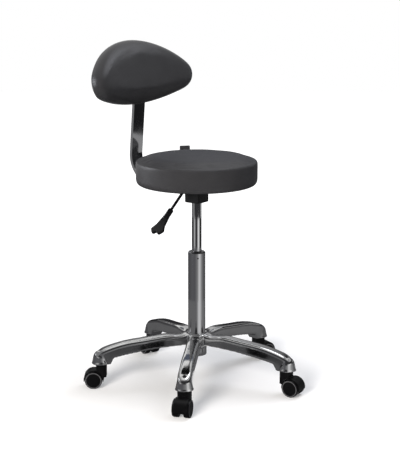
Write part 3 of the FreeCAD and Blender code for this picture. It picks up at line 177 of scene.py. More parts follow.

# Glowing grey cards that stand and lie round the stool out of the camera's sight, as painted reflections:
# seen only in the metal, they give it its light and dark streaks. The first list lies on the floor, by its
# share of the ring's radius, and the second stands on it, by the height of each card's top. Each card has
# its shades by bearing from the camera, in degrees.
FLAG_RADIUS = 0.9
FLAG_LIFT = 0.001
FLAG_MARGIN = 0.01
FLOOR_REFLECTION_CARDS = [
    (0.56, [
        (-180, "#5a5a5c"), (-99, "#747476"), (-9, "#747476"), (4, "#88888a"), (30, "#e4e4e6"),
        (46, "#d6d6d8"), (74, "#88888a"), (112, "#767678"), (150, "#5a5a5c"),
    ]),
    (0.34, [
        (-180, "#5a5a5c"), (-70, "#747476"), (-5, "#444446"), (12, "#505052"), (30, "#a0a0a2"),
        (58, "#88888a"), (150, "#5a5a5c"),
    ]),
    (0.10, [(-180, "#48484a"), (0, "#646466")]),
]
STANDING_REFLECTION_CARDS = [
    (0.19, [
        (-180, "#2a2a2c"), (-150, "#4a4a4c"), (-65, "#646468"), (-22, "#606064"), (4, "#848486"),
        (17, "#a0a0a2"), (30, "#e4e4e6"), (44, "#dcdcde"), (58, "#aaaaac"), (92, "#626264"),
        (112, "#6a6a6c"), (180, "#2a2a2c"),
    ]),
    (0.30, [
        (-180, "#2a2a2c"), (-84, "#343436"), (-53, "#d2d2d4"), (-26, "#5a5a5c"), (0, "#2c2c2e"),
        (12, "#505052"), (24, "#d0d0d2"), (38, "#ffffff"), (58, "#ffffff"), (68, "#707072"),
        (84, "#464648"), (125, "#161618"), (180, "#2a2a2c"),
    ]),
    (0.47, [
        (-180, "#6a6a6c"), (-120, "#6a6a6c"), (-90, "#8a8a8c"), (-62, "#8a8a8c"), (-40, "#3a3a3c"),
        (84, "#3a3a3c"), (98, "#a0a0a2"), (125, "#a0a0a2"), (150, "#6a6a6c"),
    ]),
    (0.75, [
        (-180, "#d0d0d2"), (-165, "#ffffff"), (-135, "#ffffff"), (-118, "#8a8a8c"), (-60, "#8a8a8c"),
        (-40, "#3a3a3c"), (40, "#3a3a3c"), (76, "#202022"), (132, "#202022"), (180, "#d0d0d2"),
    ]),
    (1.05, [
        (-180, "#565e70"), (-120, "#8a8a8c"), (-60, "#8a8a8c"), (-20, "#5a5a5c"), (40, "#505052"),
        (76, "#d8d8da"), (132, "#d8d8da"), (160, "#565e70"),
    ]),
    (1.70, [
        (-180, "#ffffff"), (-60, "#b0b0b2"), (0, "#a0a0a2"), (100, "#a0a0a2"), (180, "#ffffff"),
    ]),
]


def linear(hex_colour):
    """Turns a written sRGB colour into the linear values that Blender works with."""
    parts = [int(hex_colour[i : i + 2], 16) / 255 for i in (1, 3, 5)]
    return [p / 12.92 if p <= 0.04045 else ((p + 0.055) / 1.055) ** 2.4 for p in parts] + [1.0]


def add_node(tree, kind, values=None, links=None, **settings):
    """Adds one node with its settings, its input values and the outputs that feed it."""
    node = tree.nodes.new(kind)
    for name, value in settings.items():
        setattr(node, name, value)
    for name, value in (values or {}).items():
        node.inputs[name].default_value = value
    for name, source in (links or {}).items():
        tree.links.new(source, node.inputs[name])
    return node


def set_stops(node, stops):
    """Gives a colour ramp its stops: a place and a colour, written as sRGB or as linear values."""
    places = node.color_ramp.elements
    while len(places) < len(stops):
        places.new(0.5)
    for place, (position, colour) in zip(places, stops):
        place.position = position
        place.color = linear(colour) if isinstance(colour, str) else (*colour, 1.0)


def finish(name, dark, light, patch, rough, grain, depth, grain_kind="ShaderNodeTexNoise",
           stretch=(1, 1, 1), **sockets):
    """Makes a surface of cloudy colour and gloss with a grain; patch, grain and depth are in metres."""
    material = bpy.data.materials.new(name)
    material.use_nodes = True
    tree = material.node_tree
    surface = tree.nodes["Principled BSDF"]
    for socket, value in sockets.items():
        surface.inputs[socket.replace("_", " ")].default_value = value
    place = add_node(tree, "ShaderNodeTexCoord").outputs["Object"]
    place = add_node(
        tree, "ShaderNodeMapping", {"Scale": stretch}, {"Vector": place}
    ).outputs["Vector"]
    cloud = add_node(
        tree, "ShaderNodeTexNoise", {"Scale": 1 / patch, "Detail": 4.0}, {"Vector": place}
    )
    ramp = add_node(tree, "ShaderNodeValToRGB", links={"Fac": cloud.outputs[0]})
    set_stops(ramp, [(0.3, dark), (0.7, light)])
    gloss = add_node(
        tree, "ShaderNodeMapRange",
        {"From Min": 0.3, "From Max": 0.7, "To Min": rough[0], "To Max": rough[1]},
        {"Value": cloud.outputs[0]},
    )
    fine = add_node(tree, grain_kind, {"Scale": 1 / grain}, {"Vector": place})
    bump = add_node(
        tree, "ShaderNodeBump", {"Strength": 1.0, "Distance": depth}, {"Height": fine.outputs[0]}
    )
    tree.links.new(ramp.outputs["Color"], surface.inputs["Base Color"])
    tree.links.new(gloss.outputs["Result"], surface.inputs["Roughness"])
    tree.links.new(bump.outputs["Normal"], surface.inputs["Normal"])
    return material


def painted_dent_shade(material, spot, radius):
    """Paints the shade of a small round dent, as pressed into a tube to hold the bush inside it: the
    colour darkens to near black there, while the shape stays smooth.
    """
    tree = material.node_tree
    surface = tree.nodes["Principled BSDF"]
    colour = surface.inputs["Base Color"].links[0].from_socket
    place = add_node(tree, "ShaderNodeTexCoord").outputs["Object"]
    away = add_node(
        tree, "ShaderNodeVectorMath", {1: spot}, {0: place}, operation="DISTANCE"
    ).outputs["Value"]
    clear = add_node(
        tree, "ShaderNodeMapRange", {"From Min": 0.5 * radius, "From Max": radius}, {"Value": away}
    ).outputs["Result"]
    mixed = add_node(
        # Painted shade of the dent: near-black colour in the middle of the spot
        tree, "ShaderNodeMixRGB", {"Color1": linear("#1c1c1c")}, {"Fac": clear, "Color2": colour}
    )
    tree.links.new(mixed.outputs["Color"], surface.inputs["Base Color"])


def make_finishes(covers):
    """Makes every finish once."""
    # Bright, mirror-like casting: faint long waves from hand polishing and slightly hazy patches.
    finish("Polished cast aluminium", "#c8c8c7", "#d6d6d5", 0.05, (0.07, 0.13), 0.03, 0.00006,
           Metallic=1.0)
    # Bright neutral mirror with hardly any haze, drawn out along the tube.
    tube = finish("Chromed steel tube", "#cdcdcd", "#d7d7d7", 0.06, (0.04, 0.09), 0.02, 0.00001,
                  stretch=(1, 1, 0.1), Metallic=1.0)
    # Painted shade of the pressed dent near the tube's top
    painted_dent_shade(tube, CRIMP_SPOT, CRIMP_RADIUS)
    # The same plating on rolled flat bar, with weak waves along it.
    finish("Chromed flat bar", "#c6c6c6", "#d2d2d2", 0.05, (0.05, 0.1), 0.03, 0.00003, Metallic=1.0)
    # Deep black sliding plastic with a waxy gloss.
    finish("Acetal bush", "#0c0c0d", "#121213", 0.02, (0.3, 0.4), 0.002, 0.00001)
    # Satin black paint with a fine orange peel.
    finish("Black powder coat", "#0a0a0b", "#101011", 0.02, (0.36, 0.48), 0.003, 0.00004,
           Specular_IOR_Level=0.35)
    # Pale grey metal, dull and a little cloudy.
    finish("Zinc plated steel", "#a5a7a6", "#bbbdbb", 0.006, (0.25, 0.4), 0.001, 0.00001, Metallic=1.0)
    # Matt black rubber.
    finish("Bumper rubber", "#101010", "#161616", 0.01, (0.7, 0.85), 0.001, 0.00003)
    # Pale wood drawn out along the board.
    finish("Birch plywood", "#a98a5c", "#cdb085", 0.012, (0.55, 0.7), 0.004, 0.00008,
           stretch=(1, 0.08, 1))
    # The same board under black stain, the grain just showing.
    finish("Black stained plywood", "#131312", "#1d1c1b", 0.012, (0.55, 0.7), 0.004, 0.00008,
           stretch=(1, 0.08, 1))
    # Dark neutral grey cover with a soft sheen; the grain is drawn coarser than it is, so that it shows.
    finish("Upholstery vinyl", covers.seat_dark, covers.seat_light, 0.05, (0.46, 0.51), 0.004, 0.0001,
           "ShaderNodeTexVoronoi", Specular_IOR_Level=0.23)
    # The same cover, glossier because it is stretched tighter; its colour is a shade darker than the
    # seat's, as painted shade on the upright pad.
    finish("Backrest vinyl", covers.pad_dark, covers.pad_light, 0.05, (0.34, 0.38), 0.004, 0.0001,
           "ShaderNodeTexVoronoi", Specular_IOR_Level=0.2)
    # Black handle plastic with the dull grain of a spark-eroded mould.
    finish("Moulded black ABS", "#08080a", "#0e0e0f", 0.02, (0.36, 0.48), 0.0025, 0.00006,
           Specular_IOR_Level=0.25)
    # Dark grey grip plastic with a coarse, dry grain that dulls its highlights.
    finish("Textured grey ABS", "#262628", "#323234", 0.006, (0.5, 0.65), 0.0015, 0.00012)
    # Near-black hoods and wheel discs, satin, faintly cloudy where the plastic flowed.
    finish("Moulded black nylon", "#070708", "#0c0c0d", 0.015, (0.32, 0.45), 0.002, 0.00004,
           Specular_IOR_Level=0.2)
    # Grey tyre ring, matt.
    finish("Grey polyurethane", "#454547", "#525254", 0.01, (0.5, 0.65), 0.002, 0.00004)


def dress(thing, finish_name):
    """Puts one finish on all the material slots of a mesh."""
    material = bpy.data.materials[finish_name]
    if not thing.material_slots:
        thing.data.materials.append(material)
    for slot in thing.material_slots:
        slot.material = material


def leave_alone():
    """Goes back to object mode with nothing selected, ready for the next primitive."""
    if bpy.context.object and bpy.context.object.mode != "OBJECT":
        bpy.ops.object.mode_set(mode="OBJECT")
    bpy.ops.object.select_all(action="DESELECT")


def apply_modifier(piece, kind, **settings):
    """Adds a modifier, sets it and applies it."""
    modifier = piece.modifiers.new(kind.title(), kind)
    for name, value in settings.items():
        setattr(modifier, name, value)
    bpy.context.view_layer.objects.active = piece
    bpy.ops.object.modifier_apply(modifier=modifier.name)


def stack(name, levels, segments):
    """Raises a round form from a disc by extruding it through levels of radius and height."""
    leave_alone()
    radius, height = levels[0]
    bpy.ops.mesh.primitive_circle_add(
        vertices=segments, radius=radius, fill_type="NGON", location=(0, 0, height)
    )
    piece = bpy.context.object
    piece.name = name
    bpy.ops.object.transform_apply(location=True)
    bpy.ops.object.mode_set(mode="EDIT")
    bpy.ops.mesh.select_all(action="SELECT")
    for next_radius, next_height in levels[1:]:
        bpy.ops.mesh.extrude_region_move(
            TRANSFORM_OT_translate={"value": (0, 0, next_height - height)}
        )
        grow = next_radius / radius
        bpy.ops.transform.resize(value=(grow, grow, 1), center_override=(0, 0, next_height))
        radius, height = next_radius, next_height
    bpy.ops.mesh.select_all(action="SELECT")
    bpy.ops.mesh.normals_make_consistent(inside=False)
    bpy.ops.object.mode_set(mode="OBJECT")
    put_in_order(piece)
    return piece


def put_in_order(piece):
    """Sorts a mesh by place: operators leave its order to chance, and the cloth run depends on it."""
    mesh = bmesh.new()
    mesh.from_mesh(piece.data)
    for number, vertex in enumerate(sorted(mesh.verts, key=lambda vertex: vertex.co[:])):
        vertex.index = number
    mesh.verts.sort()
    for parts in (mesh.edges, mesh.faces):
        by_place = sorted(parts, key=lambda part: sorted(vertex.index for vertex in part.verts))
        for number, part in enumerate(by_place):
            part.index = number
        parts.sort()
    mesh.to_mesh(piece.data)
    mesh.free()


def inflate(piece, held, reach):
    """Blows a cover up from inside as cloth; what is stapled holds, and nothing moves past reach."""
    begin = [vertex.co.copy() for vertex in piece.data.vertices]
    outward = [vertex.normal.copy() for vertex in piece.data.vertices]
    group = piece.vertex_groups.new(name="held")
    group.add([v.index for v in piece.data.vertices if held(v.co)], 1.0, "REPLACE")
    cloth = piece.modifiers.new("Cover", "CLOTH")
    for name, value in COVER_CLOTH.items():
        setattr(cloth.settings, name, value)
    cloth.settings.vertex_group_mass = "held"
    cloth.settings.effector_weights.gravity = 0
    cloth.collision_settings.use_collision = False
    cloth.point_cache.frame_start = 1
    cloth.point_cache.frame_end = CLOTH_FRAMES
    scene = bpy.context.scene
    for number in range(1, CLOTH_FRAMES + 1):
        scene.frame_set(number)
    bpy.context.view_layer.objects.active = piece
    bpy.ops.object.modifier_apply(modifier=cloth.name)
    for vertex, place, way in zip(piece.data.vertices, begin, outward):
        rise = (vertex.co - place).dot(way)
        vertex.co = place + way * max(0.0, min(reach, rise))
    scene.frame_set(1)
    piece.vertex_groups.clear()


def soften(piece, rounds, sewn):
    """Relaxes a cover, draws it in where it is sewn, doubles its mesh and shades it smooth."""
    apply_modifier(piece, "SMOOTH", factor=0.5, iterations=rounds)
    inward = [vertex.normal * sewn(vertex.co) for vertex in piece.data.vertices]
    for vertex, step in zip(piece.data.vertices, inward):
        vertex.co -= step
    apply_modifier(piece, "SUBSURF", levels=1, render_levels=1)
    bpy.ops.object.select_all(action="DESELECT")
    piece.select_set(True)
    bpy.context.view_layer.objects.active = piece
    bpy.ops.object.shade_smooth()


def moulded(node, name, voxel, rounds):
    """A copy of a CAD piece with its corners joined, then softened as a casting or moulding is."""
    leave_alone()
    piece = bpy.data.objects.new(name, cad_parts[node].data.copy())
    bpy.context.collection.objects.link(piece)
    piece.select_set(True)
    bpy.context.view_layer.objects.active = piece
    bpy.ops.object.mode_set(mode="EDIT")
    bpy.ops.mesh.select_all(action="SELECT")
    bpy.ops.mesh.remove_doubles(threshold=0.00001)
    bpy.ops.object.mode_set(mode="OBJECT")
    apply_modifier(piece, "REMESH", mode="VOXEL", voxel_size=voxel)
    apply_modifier(piece, "SMOOTH", factor=0.5, iterations=rounds)
    bpy.ops.object.shade_smooth()
    return piece


def settle(piece, finish_name, body, slot, *nodes):
    """Dresses a finished piece and hands it to the frame in place of CAD nodes."""
    dress(piece, finish_name)
    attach(piece, body)
    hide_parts(*nodes)


def outline_reach(sizes, puff, way_x, way_z):
    """Distance from the pad's middle to its outline: two wide arcs joined by small end arcs."""
    end_radius = sizes.end_radius
    corner_x = sizes.half_width - end_radius
    corner_z = sizes.end_height
    arcs = []
    for reach, side in ((sizes.above, 1), (sizes.below, -1)):
        tall = reach - side * corner_z
        radius = (corner_x ** 2 + tall ** 2 - end_radius ** 2) / (2 * (tall - end_radius)) - end_radius
        arcs.append((side * (reach - radius - end_radius), radius))
    low, high = 0.0, PAD_FARTHEST
    for _ in range(PAD_HALVINGS):
        reach = (low + high) / 2
        x, z = abs(way_x * reach), PAD_MIDDLE + way_z * reach
        gap = -1.0
        for centre, radius in arcs:
            away = math.hypot(x, z - centre)
            if away > radius and x * radius / away <= corner_x:
                gap = max(gap, away - radius)
            elif away > radius:
                gap = max(gap, math.hypot(x - corner_x, z - corner_z))
        if gap < end_radius - puff:
            low = reach
        else:
            high = reach
    return low


def share_of(value):
    """Holds a value between nothing and all."""
    return max(0.0, min(1.0, value))


def seen_rays(tree):
    """One where a surface is looked at directly, in a mirror or through glass, and nothing elsewhere."""
    path = add_node(tree, "ShaderNodeLightPath")
    seen = path.outputs["Is Camera Ray"]
    for kind in ("Is Glossy Ray", "Is Transmission Ray"):
        seen = add_node(
            tree, "ShaderNodeMath", links={0: seen, 1: path.outputs[kind]}, operation="ADD", use_clamp=True
        ).outputs[0]
    return seen


class CoverColours(bpy.types.PropertyGroup):
    """The two shades of each vinyl cover"""

    seat_dark: FloatVectorProperty(
        name="Seat, dark", description="Darker shade of the seat's vinyl",
        default=linear("#2c2c2e")[:3], subtype="COLOR",
    )
    seat_light: FloatVectorProperty(
        name="Seat, light", description="Lighter shade of the seat's vinyl",
        default=linear("#303032")[:3], subtype="COLOR",
    )
    # The backrest's shades sit a little below the seat's: painted shade on the same vinyl
    pad_dark: FloatVectorProperty(
        name="Backrest, dark", description="Darker shade of the backrest's vinyl",
        default=linear("#29292b")[:3], subtype="COLOR",
    )
    pad_light: FloatVectorProperty(
        name="Backrest, light", description="Lighter shade of the backrest's vinyl",
        default=linear("#2d2d2f")[:3], subtype="COLOR",
    )


class CasterSizes(bpy.types.PropertyGroup):
    """Sizes and places of the casters"""

    ring: FloatProperty(
        name="Ring", description="Radius of the stem circle", default=0.281, unit="LENGTH"
    )
    first: FloatProperty(
        name="First arm", description="Bearing of the first arm", default=math.radians(-79.8),
        subtype="ANGLE",
    )
    trail: FloatProperty(
        name="Trail", description="Axle behind the stem", default=0.020, unit="LENGTH"
    )
    radius: FloatProperty(
        name="Wheel radius", description="Wheel radius", default=0.025, unit="LENGTH"
    )
    width: FloatProperty(
        name="Wheel width", description="Wheel width", default=0.017, unit="LENGTH"
    )
    gap: FloatProperty(
        name="Gap", description="Space between the wheels", default=0.015, unit="LENGTH"
    )


class SeatSizes(bpy.types.PropertyGroup):
    """Sizes of the seat cushion"""

    radius: FloatProperty(name="Radius", description="Seat radius", default=0.175, unit="LENGTH")
    foot: FloatProperty(
        name="Foot", description="Height of the seat's underside", default=0.584, unit="LENGTH"
    )
    ridge: FloatProperty(
        name="Ridge", description="Height of the top edge", default=0.657, unit="LENGTH"
    )
    top: FloatProperty(name="Top", description="Height of the middle", default=0.664, unit="LENGTH")
    wrap: FloatProperty(
        name="Wrap", description="Radius to which the cover is folded under", default=0.140,
        unit="LENGTH",
    )
    puff: FloatProperty(
        name="Puff", description="How far the cover is blown out", default=0.005, unit="LENGTH"
    )
    shrink: FloatProperty(
        name="Shrink", description="What relaxing takes off again", default=0.002, unit="LENGTH"
    )
    segments: IntProperty(name="Segments", description="Divisions round the seat", default=144)


class PadSizes(bpy.types.PropertyGroup):
    """Sizes and place of the backrest pad"""

    half_width: FloatProperty(
        name="Half width", description="Half the pad's width", default=0.221, unit="LENGTH"
    )
    above: FloatProperty(
        name="Above", description="Pad above its origin", default=0.127, unit="LENGTH"
    )
    below: FloatProperty(
        name="Below", description="Pad below its origin", default=0.061, unit="LENGTH"
    )
    end_radius: FloatProperty(
        name="End radius", description="Radius of the ends", default=0.045, unit="LENGTH"
    )
    end_height: FloatProperty(
        name="End height", description="Height of the ends", default=0.008, unit="LENGTH"
    )
    front: FloatProperty(
        name="Front", description="Depth in front of the bar", default=0.033, unit="LENGTH"
    )
    behind: FloatProperty(
        name="Behind", description="Depth behind the bar's face", default=0.037, unit="LENGTH"
    )
    front_curve: FloatProperty(
        name="Front curve", description="Radius of the front in plan", default=0.80, unit="LENGTH"
    )
    back_curve: FloatProperty(
        name="Back curve", description="Radius of the back in plan", default=0.56, unit="LENGTH"
    )
    crown: FloatProperty(
        name="Crown", description="Radius of the front, upright", default=0.42, unit="LENGTH"
    )
    front_edge: FloatProperty(
        name="Front edge", description="Rounding in front", default=0.042, unit="LENGTH"
    )
    back_edge: FloatProperty(
        name="Back edge", description="Rounding behind", default=0.016, unit="LENGTH"
    )
    place_y: FloatProperty(
        name="Place y", description="Origin behind the column", default=0.20774, unit="LENGTH"
    )
    place_z: FloatProperty(
        name="Place z", description="Origin above the floor", default=0.85589, unit="LENGTH"
    )
    recline: FloatProperty(
        name="Recline", description="Lean of the pad", default=math.radians(12), subtype="ANGLE"
    )
    puff: FloatProperty(
        name="Puff", description="How far the cover is blown out", default=0.005, unit="LENGTH"
    )
    shrink: FloatProperty(
        name="Shrink", description="What relaxing takes off again", default=0.0035, unit="LENGTH"
    )


class StageSizes(bpy.types.PropertyGroup):
    """Place and lens of the camera"""

    distance: FloatProperty(
        name="Distance", description="Camera to column, level", default=3.4869, unit="LENGTH"
    )
    height: FloatProperty(
        name="Height", description="Camera above the floor", default=1.2148, unit="LENGTH"
    )
    pitch: FloatProperty(
        name="Pitch", description="Camera looks down by", default=math.radians(12.306),
        subtype="ANGLE",
    )
    turn: FloatProperty(
        name="Turn", description="Camera's turn round the stool", default=math.radians(55),
        subtype="ANGLE",
    )
    lens: FloatProperty(name="Lens", description="Focal length in millimetres", default=98.70)
    shift: FloatProperty(name="Shift", description="Sideways lens shift", default=0.0072)


class STOOL_OT_finishes(bpy.types.Operator):
    """Makes the finishes and puts them on the frame's pieces"""

    bl_idname = "stool.finishes"
    bl_label = "Finishes"

    def execute(self, context):
        make_finishes(context.scene.cover_colours)
        for finish_name, nodes in FINISHES.items():
            for node in nodes:
                dress(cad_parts[node], finish_name)
        for finish_name, parts in CASTER_FINISHES.items():
            for part in parts:
                for number in range(1, CASTER_COUNT + 1):
                    dress(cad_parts[f"caster_{number}_{part}"], finish_name)
        return {"FINISHED"}


class STOOL_OT_base(bpy.types.Operator):
    """Softens the star base as a polished casting"""

    bl_idname = "stool.base"
    bl_label = "Star base"

    def execute(self, context):
        casting = moulded("star_base", "base_casting", *CASTING_SOFTNESS)
        settle(casting, "Polished cast aluminium", "base", "polished_aluminium", "star_base")
        return {"FINISHED"}


class STOOL_OT_casters(bpy.types.Operator):
    """Models one hood and one wheel and copies them to the five casters"""

    bl_idname = "stool.casters"
    bl_label = "Casters"

    def execute(self, context):
        sizes = context.scene.caster_sizes
        places = []
        for number, heading in enumerate(CASTER_HEADINGS):
            around = sizes.first + number * math.tau / CASTER_COUNT
            spot = Matrix.Translation((sizes.ring * math.cos(around), sizes.ring * math.sin(around), 0))
            places.append(spot @ Matrix.Rotation(math.radians(heading), 4, "Z"))
        hood = moulded("caster_1_hood", "hood", *HOOD_SOFTNESS)
        hood.data.transform(places[0].inverted())
        wheel = self.wheel(sizes.radius, sizes.width)
        for number, place in enumerate(places, start=1):
            for side, name in ((1, "left"), (-1, "right")):
                spot = Matrix.Translation((sizes.trail, side * sizes.gap / 2, sizes.radius))
                turned = spot @ Matrix.Rotation(-side * math.pi / 2, 4, "X")
                copy = self.copied(context, wheel, f"caster_{number}_{name}_wheel", place @ turned)
                body = f"caster_{number}_wheel_{name}"
                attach(copy, body)
                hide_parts(body)
            copy = self.copied(context, hood, f"caster_{number}_cover", place)
            settle(copy, "Moulded black nylon", f"caster_{number}", "black_nylon", f"caster_{number}_hood")
        bpy.data.objects.remove(hood)
        bpy.data.objects.remove(wheel)
        return {"FINISHED"}

    def wheel(self, tread, width):
        """A wheel that lies on its inner face, with a dished disc and a grey ring outside"""
        levels = [(tread - inset, height) for inset, height in WHEEL_INSIDE]
        levels.append((tread, width / 2))
        levels += [(tread - inset, width - drop) for inset, drop in WHEEL_OUTSIDE]
        levels += [(radius, width - drop) for radius, drop in WHEEL_DISC]
        wheel = stack("wheel", levels, WHEEL_SEGMENTS)
        wheel.data.materials.append(bpy.data.materials["Moulded black nylon"])
        wheel.data.materials.append(bpy.data.materials["Grey polyurethane"])
        outer, inner = WHEEL_RING
        for face in wheel.data.polygons:
            out = face.center.xy.length
            ringed = tread - inner < out < tread - outer and face.center.z > width / 2
            face.material_index = 1 if ringed else 0
        bpy.ops.object.shade_smooth_by_angle(angle=WHEEL_CREASE)
        return wheel

    def copied(self, context, model, name, place):
        """A copy with a mesh of its own, put in its place"""
        copy = bpy.data.objects.new(name, model.data.copy())
        copy.data.transform(place)
        context.collection.objects.link(copy)
        return copy


class STOOL_OT_levers(bpy.types.Operator):
    """Softens the two moulded lever grips"""

    bl_idname = "stool.levers"
    bl_label = "Lever grips"

    def execute(self, context):
        for lever in ("lift", "lock"):
            grip = moulded(f"{lever}_paddle", f"{lever}_grip", *GRIP_SOFTNESS)
            look = "Moulded black ABS" if lever == "lift" else "Textured grey ABS"
            settle(grip, look, f"{lever}_lever", "black_plastic", f"{lever}_paddle")
        return {"FINISHED"}


class STOOL_OT_seat(bpy.types.Operator):
    """Models the round seat cushion and its folded cover"""

    bl_idname = "stool.seat"
    bl_label = "Seat cushion"

    def execute(self, context):
        sizes = context.scene.seat_sizes
        puff = sizes.puff
        side = sizes.radius - puff + sizes.shrink
        ridge = sizes.ridge - puff
        top = sizes.top - puff
        levels = [(sizes.wrap + out, sizes.foot + up) for out, up in SEAT_FOLD]
        levels += [(side - inset, sizes.foot + up) for inset, up in SEAT_LOWER]
        side_foot = levels[-1][1]
        levels += [(side, side_foot + SEAT_SIDE_STEP * step) for step in range(1, SEAT_SIDE_STEPS + 1)]
        levels += [(side - inset, ridge - drop) for inset, drop in SEAT_UPPER]
        edge = levels[-1][0]
        for step in range(1, SEAT_CROWN_STEPS + 1):
            share = step / SEAT_CROWN_STEPS
            height = ridge + (top - ridge) * math.sin(share * math.pi / 2)
            levels.append((edge + (SEAT_FLAT_RADIUS - edge) * share, height))
        levels += [
            (SEAT_FLAT_RADIUS * (1 - step / SEAT_FLAT_STEPS), top + SEAT_FLAT_RISE * step)
            for step in range(1, SEAT_FLAT_STEPS)
        ]
        cushion = stack("seat_cover", levels, sizes.segments)
        stapled = sizes.foot + SEAT_STAPLE_HEIGHT
        inflate(cushion, lambda co: self.held(co, stapled), puff)
        seam = ridge + puff * SEAT_SEAM_PUFF - SEAT_SEAM_DROP
        soften(cushion, SEAT_ROUNDS, lambda co: self.sewn(co, seam))
        settle(cushion, "Upholstery vinyl", "seat", "seat_vinyl", "seat_cushion")
        return {"FINISHED"}

    def held(self, co, stapled):
        """Whether the cover is stapled there, under the board"""
        folded = co.xy.length < SEAT_STAPLE_RADIUS and co.z < stapled + SEAT_STAPLE_DEPTH
        return co.z < stapled or folded

    def sewn(self, co, seam):
        """Depth of the seam round the top edge"""
        near = abs(co.z - seam) < SEAT_SEAM_HALF and co.xy.length > SEAT_SEAM_RADIUS
        return SEAT_SEAM_DEPTH if near else 0.0


class STOOL_OT_pad(bpy.types.Operator):
    """Models the curved backrest pad, crowned in front and flatter behind"""

    bl_idname = "stool.pad"
    bl_label = "Backrest pad"

    def execute(self, context):
        sizes = context.scene.pad_sizes
        leave_alone()
        bpy.ops.mesh.primitive_uv_sphere_add(segments=PAD_SEGMENTS, ring_count=PAD_RINGS, radius=1.0)
        pad = bpy.context.object
        pad.name = "back_cover"
        self.shape(pad, sizes)
        bpy.ops.object.mode_set(mode="EDIT")
        bpy.ops.mesh.select_all(action="SELECT")
        bpy.ops.mesh.normals_make_consistent(inside=False)
        bpy.ops.object.mode_set(mode="OBJECT")
        put_in_order(pad)
        inflate(pad, lambda co: co.y > PAD_STAPLE_DEPTH and abs(co.x) < PAD_STAPLE_HALF, sizes.puff)
        soften(pad, PAD_ROUNDS, lambda co: self.gather(co, sizes))
        lean = Matrix.Rotation(-sizes.recline, 4, "X")
        pad.data.transform(Matrix.Translation((0, sizes.place_y, sizes.place_z)) @ lean)
        settle(pad, "Backrest vinyl", "back", "pad_vinyl", "back_pad")
        return {"FINISHED"}

    def shape(self, pad, sizes):
        """Draws a sphere out to the pad's outline, with its poles in the middle of the front and back"""
        puff = sizes.puff - sizes.shrink
        rounding = 90 - PAD_FACE_ANGLE
        reaches = {}
        for vertex in pad.data.vertices:
            spread = math.hypot(vertex.co.x, vertex.co.y)
            way = (vertex.co.x / spread, vertex.co.y / spread) if spread > 1e-6 else (1.0, 0.0)
            key = round(math.atan2(way[1], way[0]), 3)
            if key not in reaches:
                reaches[key] = outline_reach(sizes, puff, way[0], way[1])
            polar = math.degrees(math.acos(max(-1.0, min(1.0, vertex.co.z))))
            behind = polar > 90
            away = min(polar, 180 - polar)
            edge = sizes.back_edge if behind else sizes.front_edge
            flat = 1 - edge / reaches[key]
            if away < PAD_FACE_ANGLE:
                share, depth = flat * away / PAD_FACE_ANGLE, 1.0
            else:
                lean = math.radians((away - PAD_FACE_ANGLE) / rounding * 90)
                share, depth = flat + (1 - flat) * math.sin(lean), math.cos(lean)
            x = way[0] * reaches[key] * share
            up = way[1] * reaches[key] * share
            front = puff - sizes.front - x * x / (2 * sizes.front_curve) + up ** 2 / (2 * sizes.crown)
            back = sizes.behind - puff - x * x / (2 * sizes.back_curve)
            y = (front + back) / 2 + (depth if behind else -depth) * (back - front) / 2
            vertex.co = (x, y, PAD_MIDDLE + up)

    def gather(self, co, sizes):
        """Depth of the gathers where the cover is pulled round the pad's ends"""
        near = share_of((abs(co.x) - sizes.half_width + GATHER_START) / GATHER_RUN)
        behind = max(0.0, 1 - abs(co.y - GATHER_BACK) / GATHER_BACK_HALF)
        low = share_of((GATHER_TOP - co.z) / GATHER_FADE)
        wave = 0.5 + 0.5 * math.cos(math.tau * co.z / GATHER_SPACING)
        return GATHER_DEPTH * near * behind * low * wave


